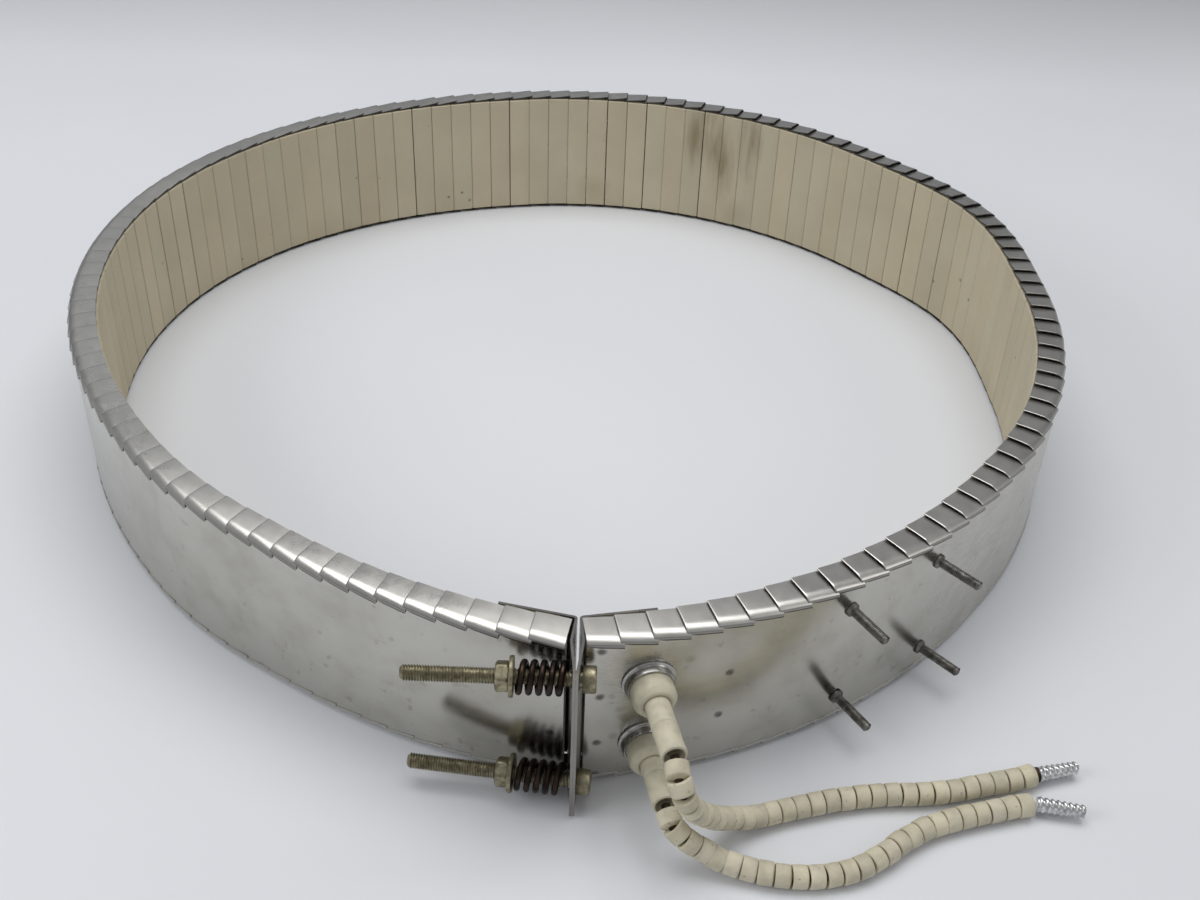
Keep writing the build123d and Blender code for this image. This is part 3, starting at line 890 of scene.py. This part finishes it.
# %% Crimped ends
def ferrule_piece(name, route, turn_degrees, dark_length):
    """Crimped, tinned strand end: a quilted, slightly tapering sleeve past a dark ring."""
    last = Vector(route[-1]) - Vector(route[-2])
    heading = math.atan2(last.y, last.x)
    turn = math.radians(turn_degrees)
    x, y, z = route[-1]
    shift = lead_diameter / 2 * abs(math.sin(turn))
    place = (
        Matrix.Translation((x, y, z + base))
        @ Matrix.Rotation(heading + turn, 4, "Z")
        @ Matrix.Translation((shift, 0, 0))
    )
    segments, rows = 48, 80
    sleeve_length, ferrule_length, sleeve_radius, taper = 17.8, 18, 3.0, 0.55
    crimp_pitch, crimp_depth, bare_run, flatten = 2.25, 0.34, 0.8, 0.25
    verts = []
    for row in range(rows + 1):
        along = lead_exit_play + sleeve_length * row / rows
        radius = sleeve_radius - taper * along / ferrule_length
        grip = 0.0 if along < dark_length + bare_run else crimp_depth
        for index in range(segments):
            around = 2 * math.pi * index / segments
            quilt = math.cos(2 * math.pi * along / crimp_pitch) * math.cos(3 * around + 0.35)
            ragged = 0.12 * math.sin(7 * around + 2) if row > rows - 3 else 0.0
            pressed = flatten * (grip > 0) * math.cos(around) ** 2
            r = radius + grip * quilt - pressed + ragged
            verts.append((along, r * math.cos(around), r * math.sin(around)))
    faces = rod_faces(rows + 1, segments)
    piece = make_mesh(name, verts, faces, ferrule_tin, place=place, sharp=60)
    piece.data.materials.append(core_wire)
    dark_rows = int(dark_length / sleeve_length * rows)
    for face in piece.data.polygons[:dark_rows * segments]:
        face.material_index = 1
    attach(piece, "band")
    return piece


# %% Both leads
for side, route, turn, dark_length, seed in (
    ("upper", upper_route, -4.0, 1.4, 3), ("lower", lower_route, -26.0, 0.0, 8),
):
    string, line, length = bead_string(f"{side}_bead_string", route, 6.1, seed)
    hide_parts(f"{side}_lead")
    ferrule = ferrule_piece(f"{side}_crimped_end", route, turn, dark_length)
    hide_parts(f"{side}_lead_ferrule")
    print(side, "lead", round(length, 1), "mm")

# %% [markdown]
# ## Sheath wall
# The wall is a plain strip of 0.6 mm sheet, rolled to the outline. It is built as two
# skins and their edges, closed like the real sheet, with waves of about a tenth of a
# millimetre so that its reflections wander. Its UV layer holds the length along the
# band and the height in metres, which is where the weld marks and soot are placed.

# %% Sheet with two skins
def flipped(faces):
    return [tuple(reversed(face)) for face in faces]


def shell_faces(rows, columns):
    """A sheet with two skins of rows by columns points, closed along its edges."""
    back = rows * columns
    faces = flipped(grid_faces(rows, columns)) + grid_faces(rows, columns, start=back)
    for row in (0, rows - 1):
        for column in range(columns - 1):
            a = row * columns + column
            quad = (a, a + 1, back + a + 1, back + a)
            faces.append(quad if row == 0 else quad[::-1])
    for column in (0, columns - 1):
        for row in range(rows - 1):
            a = row * columns + column
            quad = (a, a + columns, back + a + columns, back + a)
            faces.append(quad[::-1] if column == 0 else quad)
    return faces


def lay_flat(piece, spread):
    """Writes the length along the band and the height, in metres, as a UV layer."""
    layer = piece.data.uv_layers.new(name="band")
    for loop in piece.data.loops:
        layer.data[loop.index].uv = spread[loop.vertex_index]


print("a sheet of 3 by 4 points has", len(shell_faces(3, 4)), "faces")

# %% Sheath wall
wall_rows = [2.8, 6, 14, 24, 34, 44, 54, 62, 69.5, 72.7]
wall_low, wall_high = wall_rows[0], wall_rows[-1]
wave_count, wave_share, full_turn = 5, 0.6, 6.28


def wall_parts(columns, chance):
    waves = [
        (chance.uniform(5, 16), chance.uniform(0, full_turn), chance.uniform(0.05, 0.1))
        for _ in range(wave_count)
    ]
    verts, uvs = [], []
    for outward in (sheath_outer, sheath_inner):
        for row in wall_rows:
            for index in range(columns):
                along = face_length * index / (columns - 1)
                x, y, turn = station(along, outward)
                share = along / face_length
                dent = sum(
                    size * math.sin(full_turn * many * share + phase + row * 0.03)
                    for many, phase, size in waves
                )
                dent *= math.sin(math.pi * (row - wall_low) / (wall_high - wall_low))
                dent *= wave_share
                verts.append((x + dent * math.cos(turn), y + dent * math.sin(turn), row + base))
                uvs.append((along * mm, row * mm))
    return verts, flipped(shell_faces(len(wall_rows), columns)), uvs


verts, faces, uvs = wall_parts(421, random.Random(5))
wall = make_mesh("sheath_wall", verts, faces, wall_steel)
lay_flat(wall, uvs)
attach(wall, "band")
print("wall faces", len(faces))

# %% [markdown]
# ## Folded tabs
# To follow the curve, both rims are cut into tabs that are folded over the tiles one
# after another. Each tab lies with one end over its neighbour, like a scale, and its
# flat rises a little towards the inside. One tab is described as a path from the lip
# over the fold to the inner edge, swept across its width, and then repeated. The small
# random lift and skew of each tab, and shade painted with a dark steel in its gaps, keep
# the row from looking like a printed pattern. The dark steel also paints shade on the
# undersides and the inner and raised edges, and along the lip under each upper fold.

# %% Path of a tab
tab_pitch, tab_lap, tab_reach = 12.35, 1.3, 12.6
tab_rise, tab_lip, tab_slope = 1.15, 0.7, 0.3
tab_fold_wide, tab_fold_high = 4.4, 2.5
tab_stand_off, sheath_gauge = 0.35, 0.6
fold_steps, fold_middle, flat_steps = 8, 5, 5
tab_columns = [-1.0, -0.975, -0.90, -0.6, -0.3, 0.0, 0.3, 0.6, 0.85, 1.0]
rounded_ends = {-1.0: 0.16, -0.975: 0.04}
tab_flares = {"upper": 0.9, "lower": 0.15}
open_height, open_share = 1.1, 0.66


def tab_path(top):
    """(x, z) and normal (x, z) from the lip over the fold to the inner edge."""
    low = top - tab_slope - tab_fold_high
    middle = tab_stand_off - tab_fold_wide
    path = [(tab_stand_off - 0.2, low - tab_lip, 1.0, 0.0)]
    for step in range(fold_steps + 1):
        turn = math.pi / 2 * step / fold_steps
        across, up = math.cos(turn), math.sin(turn)
        lean = Vector((across / tab_fold_wide, up / tab_fold_high)).normalized()
        path.append((middle + tab_fold_wide * across, low + tab_fold_high * up, lean.x, lean.y))
    run = tab_reach + middle
    for step in range(1, flat_steps + 1):
        share = step / flat_steps
        tilt = 2 * tab_slope * (1 - share) / run
        path.append((middle - run * share, top - tab_slope * (1 - share) ** 2, tilt, 1.0))
    return path


path = tab_path(band_height - tab_rise * 0.55 + 0.1)
print("points along a tab", len(path))

# %% One tab
def tab_part(path, rim, open_edge, chance):
    """One tab's shell in its own frame: X outward, Y along the band, Z up from the rim."""
    half = (tab_pitch + tab_lap) / 2
    lift = chance.uniform(0.85, 1.08)
    skew = chance.uniform(-0.06, 0.06)
    outer, inner = [], []
    for number, (x, z, nx, nz) in enumerate(path):
        share = max(0, number - fold_middle) / (len(path) - 1 - fold_middle)
        for v in tab_columns:
            lead = 0.5 - 0.5 * v
            raise_z = tab_rise * lift * (lead - 0.5) * (1.0 - 0.2 * share)
            raise_z += open_edge * lift * lead ** 3 * (0.35 + 0.65 * share)
            arch = 0.08 * lead * math.sin(math.pi * min(1, share * 1.15))
            flare = tab_flares[rim] * (0.5 - lead) * (1 - share)
            crown = 0.12 * v * v * nz
            edge = rounded_ends.get(v, 0.0)
            y = v * half + skew * share * half * 0.5
            px = x + flare - nx * edge
            pz = z + raise_z + arch - crown - nz * edge
            outer.append((px, y, pz))
            inner.append((px - nx * (sheath_gauge - edge), y, pz - nz * (sheath_gauge - edge)))
    verts, faces = outer + inner, shell_faces(len(path), len(tab_columns))
    if rim == "lower":
        return [(x, y, band_height - z) for x, y, z in verts], flipped(faces)
    return verts, faces


def tab_slots(rows, columns, rim):
    """Material slot of each face: 0 plain, 1 painted shade, 2 darker painted shade on the steep
    fold.
    """
    across, down = columns - 1, rows - 1
    skin = across * down
    inner_rim = 2 * skin + across
    spans = [(skin, 2 * skin, 1), (inner_rim, inner_rim + across + down, 1)]
    # Upper rims only: painted shade on the lip (slot 1) and a darker painted shade on the steep
    # part of the fold (slot 2).
    if rim == "upper":
        spans += [(0, across, 1), (across, 3 * across, 2)]
    slots = [0] * (2 * (skin + across + down))
    for first, past, slot in spans:
        slots[first:past] = [slot] * (past - first)
    return slots


print("faces of a tab", len(tab_slots(len(path), len(tab_columns), "upper")))

# %% Rows of tabs
outer_steps = 2000
rolled = [station(face_length * i / outer_steps, sheath_outer)[:2] for i in range(outer_steps + 1)]
outer_length = sum(math.dist(a, b) for a, b in zip(rolled, rolled[1:]))
tab_count = round((outer_length - tab_lap) / tab_pitch)
tab_step = (face_length - tab_lap) / tab_count
first_tab = (tab_lap + tab_step) / 2
chance = random.Random(11)
for rim in ("upper", "lower"):
    parts = []
    for index in range(tab_count):
        place = band_place(first_tab + index * tab_step, sheath_outer, 0)
        turn = index / tab_count / open_share
        open_edge = 0.0
        if rim == "upper" and turn <= 1:
            open_edge = open_height * math.sin(math.pi * turn) ** 0.6
        parts.append(moved(tab_part(path, rim, open_edge, chance), place))
    verts, faces = join(parts)
    tabs = make_mesh(f"{rim}_rim_tabs", verts, faces, tab_steel, sharp=50)
    # Slot 1 paints shade in the gaps and under the upper lip; slot 2 paints a darker shade on the
    # steep upper fold.
    tabs.data.materials.append(shade_steel)
    tabs.data.materials.append(fold_shade_steel)
    slots = tab_slots(len(path), len(tab_columns), rim) * tab_count
    for face, slot in zip(tabs.data.polygons, slots):
        face.material_index = slot
    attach(tabs, "band")
    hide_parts("sheath")
    print(rim, "tabs", tab_count, "faces", len(faces))
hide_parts("sheath")

# %% [markdown]
# ## Tiles
# The lining is a row of narrow ceramic strips as high as the band. Their long edges are
# eased, so that each joint shows as a fine dark line, and the joints differ in width.
# Random steps of about a tenth of a millimetre stand for the way the tiles shift in the
# sheath. They are grouped as in the part, so that each group replaces the solid it was
# made after.

# %% One tile
tile_thickness, tile_bottom, tile_top = 8.0, 2.0, 73.5
tile_pitch, tile_joint, tile_end_clearance = 12.2, 0.25, 1.0
tile_groups = 12
tile_ease, tile_deep, tile_round = 0.42, 0.30, 0.35
seam_widths = [0.10, 0.14, 0.20, 0.26, 0.52]


def tile_part(chance, seam_left, seam_right):
    half = (tile_pitch - tile_joint) / 2 + 0.02
    ends = (-(tile_pitch - seam_left) / 2, (tile_pitch - seam_right) / 2)
    section = [
        (tile_deep, -half), (0.06, -half + tile_ease), (0.0, -half + tile_ease * 1.9),
        (0.0, half - tile_ease * 1.9), (0.06, half - tile_ease), (tile_deep, half),
        (tile_thickness - tile_deep, half), (tile_thickness, half - tile_ease),
        (tile_thickness, -half + tile_ease), (tile_thickness - tile_deep, -half),
    ]
    levels = (
        (tile_bottom, tile_round), (tile_bottom + tile_round, 0.0),
        (tile_top - tile_round, 0.0), (tile_top, tile_round),
    )
    shift = chance.uniform(-0.07, 0.07)
    drop = chance.uniform(-0.12, 0.12)
    verts = []
    for z, inset in levels:
        for x, y in section:
            cx = x + (inset if x < tile_thickness / 2 else -inset)
            cy = y + (ends[1] if y > 0 else ends[0]) - math.copysign(half, y)
            cy -= math.copysign(min(inset, abs(y)) * 0.3, y)
            verts.append((cx + shift, cy, z + drop))
    wide = len(section)
    faces = flipped(grid_faces(len(levels), wide, close_columns=True))
    faces.append(tuple(range(wide)))
    faces.append(tuple(reversed(range(3 * wide, 4 * wide))))
    return verts, faces


print("tile height", tile_top - tile_bottom)

# %% Tile lining
tile_count = int((face_length - 2 * tile_end_clearance) / tile_pitch)
first_tile = (face_length - (tile_count - 1) * tile_pitch) / 2
group_size = math.ceil(tile_count / tile_groups)
chance = random.Random(21)
seams = [chance.choice(seam_widths) for _ in range(tile_count + 1)]
for group in range(tile_groups):
    parts, tones, spread = [], [], []
    for index in range(group * group_size, min((group + 1) * group_size, tile_count)):
        along = first_tile + index * tile_pitch
        part = tile_part(chance, seams[index], seams[index + 1])
        spread += [((along + y) * mm, z * mm) for x, y, z in part[0]]
        part = moved(part, band_place(along, 0, 0))
        tone = chance.uniform(0.95, 1.03)
        warm = chance.uniform(-0.012, 0.012)
        tones += [(tone + warm, tone, tone - warm, 1)] * len(part[0])
        parts.append(part)
    verts, faces = join(parts)
    tiles = make_mesh(f"tile_strips_{group + 1:02d}", verts, faces, tile_ceramic, sharp=40)
    paint_tones(tiles, tones)
    lay_flat(tiles, spread)
    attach(tiles, "band")
    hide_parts(f"tiles_{group + 1:02d}")
print("tiles", tile_count)

# %% [markdown]
# ## Clamp
# Two long screws pull the lugs together through springs, so that the band can grow as
# it heats and still grip. Each set is laid out along its own screw from the parting
# plane of the lugs, and the lower one leans with its lug. The thread is a ridge that is
# wound round the core, because at this size a flat picture of a thread would show.

# %% Clamp places
gap_y = -239.2485
flange_angle = 6.189
screw_places = {
    "upper": dict(reach=20.6, lean=0.0, height=64.05, head=2.3596, spring=2.5223),
    "lower": dict(reach=22.4, lean=flange_angle, height=11.45, head=1.6130, spring=3.0768),
}


def screw_matrix(side):
    spot = screw_places[side]
    return (
        Matrix.Translation((clamp_offset, gap_y - spot["reach"], base + spot["height"]))
        @ Matrix.Rotation(-math.radians(spot["lean"]), 4, "Z")
    )


print("screws lean", [spot["lean"] for spot in screw_places.values()])

# %% Thread and screw
def thread_spiral(start, end, radius, pitch, depth, segments=28):
    """A right-hand thread along X, as one continuous ridge."""
    steps = int((end - start) / pitch * segments)
    ridge = [
        (-0.36 * pitch, radius - depth), (-0.08 * pitch, radius),
        (0.08 * pitch, radius), (0.36 * pitch, radius - depth),
    ]
    verts = []
    for step in range(steps + 1):
        around = 2 * math.pi * step / segments
        x = start + (end - start) * step / steps
        verts += [(x + dx, r * math.cos(around), r * math.sin(around)) for dx, r in ridge]
    return verts, grid_faces(steps + 1, len(ridge))


screw_length, thread_radius, thread_pitch, thread_depth = 65.0, 3.0, 1.0, 0.47


def screw_part(side):
    head = screw_places[side]["head"]
    tip = head - screw_length
    core = lathe([
        (tip, 1.9), (tip + 0.7, 2.55), (tip + 62, 2.55), (head - 3.0, 2.98), (head, 2.98),
    ], 36)
    ridge = thread_spiral(tip + 0.9, head - 3.2, thread_radius, thread_pitch, thread_depth)
    head_part = lathe([
        (head, 3.0), (head, 4.75), (head + 0.3, 5.0), (head + 4.3, 5.0), (head + 4.8, 4.75),
        (head + 5.0, 4.3), (head + 5.0, 2.9), (head + 2.2, 2.9), (head + 2.2, 0.05),
    ], 60)
    return join([core, ridge, head_part])


print("screw faces", len(screw_part("upper")[1]))

# %% Nut, washer and spring
spring_length, spring_wide, spring_wire, spring_turns = 19.6, 13.0, 2.4, 4.8
washer_play, washer_thick = 0.05, 1.6
nut_play, nut_thick, nut_half = 0.025, 5.0, 5.0


def nut_part(side):
    start = -screw_places[side]["spring"] - spring_length - washer_play
    start = start - washer_thick - nut_play
    end = start - nut_thick
    corner = nut_half / math.cos(math.pi / 6)
    segments = 72
    verts = []
    rings = [
        (start, 3.06, False), (start, 4.65, False),
        (start - 0.35, 5.35, True), (start - 0.75, corner, True),
        (end + 0.75, corner, True), (end + 0.35, 5.35, True),
        (end, 4.65, False), (end, 3.06, False),
    ]
    for x, radius, hexed in rings:
        for index in range(segments):
            turn = 2 * math.pi * index / segments
            flat = (turn + math.pi / 6) % (math.pi / 3) - math.pi / 6
            r = min(radius, nut_half / math.cos(flat)) if hexed else radius
            verts.append((x, r * math.cos(turn), r * math.sin(turn)))
    faces = grid_faces(len(rings), segments, close_rows=True, close_columns=True)
    return verts, flipped(faces)


def washer_part(side):
    start = -screw_places[side]["spring"] - spring_length - washer_play
    end = start - washer_thick
    return lathe([
        (end, 3.25), (end, 7.3), (end + 0.2, 7.5), (start - 0.2, 7.5), (start, 7.3), (start, 3.25),
    ], 72, closed=True)


def spring_part(side):
    radius = (spring_wide - spring_wire) / 2
    start = -screw_places[side]["spring"] - spring_wire / 2
    path = []
    steps = int(spring_turns * 40)
    for step in range(steps + 1):
        share = step / steps
        around = -2 * math.pi * spring_turns * share
        x = start - (spring_length - spring_wire) * share
        path.append((x, radius * math.cos(around), -radius * math.sin(around)))
    return tube(path, spring_wire / 2, 20)


for shape in (nut_part, washer_part, spring_part):
    print(shape.__name__, "faces", len(shape("upper")[1]))

# %% [markdown]
# ## Clamp sets in place
# Screw, nut and washer ride on their own bodies, because each of them moves. The spring
# touches two bodies, the band and the washer, so it rides on neither and is left in
# place as it is made.

# %% Clamp sets in place
clamp_shapes = (
    ("threaded_screw", screw_part, plated_steel, "screw", "clamp_screw", "screw_steel"),
    ("hex_nut", nut_part, plated_steel, "nut", "nut", "screw_steel"),
    ("flat_washer", washer_part, plated_steel, "washer", "washer", "screw_steel"),
    ("coil_spring", spring_part, spring_steel, "washer", "spring", "spring_steel"),
)
for side in ("upper", "lower"):
    place = screw_matrix(side)
    spot = screw_places[side]
    for name, shape, material, body, node, slot in clamp_shapes:
        body, node = f"{side}_{body}", f"{side}_{node}"
        piece = make_mesh(f"{side}_{name}", *shape(side), material, place=place, sharp=45)
        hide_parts(node)
        if name == "coil_spring":
            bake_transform(piece)
        else:
            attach(piece, body)
print("clamp pieces made")

# %% [markdown]
# ## Terminals
# Each terminal is a stack of turned pieces: a pressed steel collar spun over the wall's
# hole, a cream bush that keeps the current away from it, and a tube that guides the
# lead. A lathe profile suits them all, with a small radius at every edge, since it is
# the bright line on an edge that makes ceramic and pressed steel look real.

# %% Terminals
def terminal_collar():
    return lathe([
        (0.05, 8.4), (0.05, 10.4), (0.25, 10.5), (0.75, 10.5), (0.95, 10.2), (1.0, 9.65),
        (1.35, 9.32), (3.9, 9.3), (4.2, 9.1), (4.2, 8.5), (3.9, 8.4),
    ], 72, closed=True)


def terminal_bush():
    return lathe([
        (0.05, 2.1), (0.05, 8.2), (4.0, 8.3), (9.6, 8.3), (10.2, 8.1), (11.9, 6.9), (12.4, 6.3),
        (12.4, 5.4), (12.1, 4.95), (8.4, 4.9), (8.4, 2.1),
    ], 72, closed=True)


def terminal_tube(end):
    return lathe([
        (8.45, 3.2), (8.45, 4.75), (end - 14.2, 4.8), (end - 13.6, 4.6), (end - 13.3, 4.35),
        (end - 13.0, 4.65), (end - 12.4, 4.9), (end - 5.0, 4.75), (end - 0.9, 4.95),
        (end - 0.3, 4.85), (end, 4.45), (end, 3.95), (end - 0.4, 3.75), (end - 3.0, 3.2),
    ], 56, closed=True)


for side in ("upper", "lower"):
    place = band_place(terminal_along, sheath_outer, terminal_heights[side])
    for name, part, material, slot in (
        ("collar", terminal_collar(), collar_steel, "collar_steel"),
        ("bush", terminal_bush(), bush_ceramic, "bush_ceramic"),
        ("tube", terminal_tube(tube_ends[side]), bush_ceramic, "bush_ceramic"),
    ):
        piece = make_mesh(f"{side}_{name}_turned", *part, material, place=place, sharp=40)
        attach(piece, "band")
        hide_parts(f"{side}_terminal_{name}")
print("terminals made")

# %% [markdown]
# ## Studs
# Four threaded studs are welded to the wall to carry a cover. They are made as the
# screws are, a core with a wound ridge, on a small fillet of weld at the foot.

# %% Studs
stud_middle, stud_columns, stud_height, stud_spacing = 125.4, 46.0, 37.2, 47.5


def stud_part():
    core = lathe([(0.05, 1.68), (19.3, 1.68), (20.0, 1.3)], 32)
    ridge = thread_spiral(1.9, 19.6, 2.0, 0.8, 0.34, 24)
    foot = lathe([
        (0.05, 1.7), (0.05, 2.9), (0.3, 3.1), (0.9, 3.0), (1.2, 2.5), (1.8, 1.7),
    ], 36, closed=True)
    return join([core, ridge, foot])


for name, column, row in (
    ("upper_left", -1, 1), ("upper_right", 1, 1), ("lower_left", -1, -1), ("lower_right", 1, -1),
):
    along = stud_middle + column * stud_columns / 2
    place = band_place(along, sheath_outer, stud_height + row * stud_spacing / 2)
    piece = make_mesh(f"{name}_threaded_stud", *stud_part(), stud_steel, place=place, sharp=45)
    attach(piece, "band")
    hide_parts(f"{name}_stud")
print("studs made")

# %% [markdown]
# ## Solids that keep their shape
# The folded lugs are plain bent plate, and the ribbon, the mat and the pins are hidden
# or nearly so. Their solids already have the right form, so only their materials are
# changed, which keeps the scene light.

# %% Carried-over materials
carried = {
    "left_lug": lug_steel, "right_lug": lug_steel,
    "heating_ribbon": ribbon_alloy, "insulation_blanket": blanket_fibre,
    "upper_terminal_pin": pin_steel, "lower_terminal_pin": pin_steel,
}
for node, material in carried.items():
    nodes[node].data.materials.clear()
    nodes[node].data.materials.append(material)
print("carried over", len(carried))

# %% [markdown]
# ## Stage
# Bright metal has no colour of its own and shows its surroundings, so the stage is part
# of the finish. The floor is pale and sweeps up behind without an edge. Towards the
# back and the right it turns to a mid grey, which gives the tabs their darker tops,
# while the upper left stays pale.

# %% Colour of the stage
stage_material, shader = new_material("stage_pale", (0.70, 0.71, 0.735), 0.0, 0.75)
vector = coordinates(stage_material)
floor_tone = (0.72, 0.73, 0.755)
floor_tones = ((0.685, 0.695, 0.72), floor_tone, floor_tone)
floor_colour = clouds(stage_material, vector, 3.0, 2.0, floor_tones)["Colour"]
place = add_node(stage_material, "ShaderNodeSeparateXYZ")
feed(stage_material, vector, place.inputs["Vector"])
across = remap(stage_material, place.outputs["X"], -0.9, 0.9, 0.0, 1.0)
above = remap(stage_material, place.outputs["Z"], 0.30, 1.05, 0.0, 1.0)
behind = remap(stage_material, place.outputs["Y"], 0.45, 0.85, 0.0, 1.0)
upper_colour = mix_colour(stage_material, across, (0.68, 0.69, 0.71), (0.36, 0.36, 0.37))
wall_colour = mix_colour(stage_material, above, (0.35, 0.355, 0.37), upper_colour)
stage_colour = mix_colour(stage_material, behind, floor_colour, wall_colour)
feed(stage_material, stage_colour, shader.inputs["Base Color"])
print("stage colours mixed")

# %% Floor and backdrop
floor_front, floor_back, sweep, backdrop_top = -1600, 900, 220, 1600
sweep_steps, floor_play = 12, 0.02
stage_columns = (-2400, -1200, 0, 1200, 2400)
profile = [(floor_front, 0), (floor_back, 0)]
for step in range(1, sweep_steps + 1):
    turn = math.pi / 2 * step / sweep_steps
    profile.append((floor_back + sweep * math.sin(turn), sweep - sweep * math.cos(turn)))
profile.append((floor_back + sweep, backdrop_top))
verts = [(x, y, z + base - floor_play) for y, z in profile for x in stage_columns]
faces = grid_faces(len(profile), len(stage_columns))
stage = make_mesh("stage_sweep", verts, faces, stage_material)
print("stage points", len(verts))

# %% [markdown]
# ## Lights
# One wide panel above gives the soft shadows of an overcast window and the bright line
# along the folds. A weaker one at each side opens the shadows. The left one is kept out
# of reflections, since a second bright line would run along every fold. The world adds
# an even, slightly cool fill.

# %% Lights
def area_light(name, size, power, place, aim, colour=(1, 1, 1)):
    data = bpy.data.lights.new(name, "AREA")
    data.shape = "RECTANGLE"
    data.size, data.size_y = size
    data.energy = power
    data.color = colour
    lamp = bpy.data.objects.new(name, data)
    bpy.context.scene.collection.objects.link(lamp)
    lamp.location = place
    lamp.rotation_euler = (Vector(aim) - Vector(place)).to_track_quat("-Z", "Y").to_euler()
    return lamp


area_light("top_panel", (1.6, 1.0), 14, (0.0, 0.15, 1.5), (0, 0, 0))
side_lamp = area_light("left_panel", (0.9, 0.8), 7.5, (-1.3, -0.7, 0.9), (0, -0.1, 0))
side_lamp.visible_glossy = False
area_light("right_panel", (0.7, 0.7), 2.2, (1.4, -0.5, 0.8), (0, 0, 0), (1.0, 0.98, 0.95))
world = bpy.data.worlds.new("surround")
bpy.context.scene.world = world
world.use_nodes = True
background = world.node_tree.nodes["Background"]
background.inputs["Color"].default_value = (0.86, 0.88, 0.92, 1)
background.inputs["Strength"].default_value = 0.42
bpy.context.scene.view_settings.view_transform = "Standard"
bpy.context.scene.view_settings.look = "None"
print("stage set")
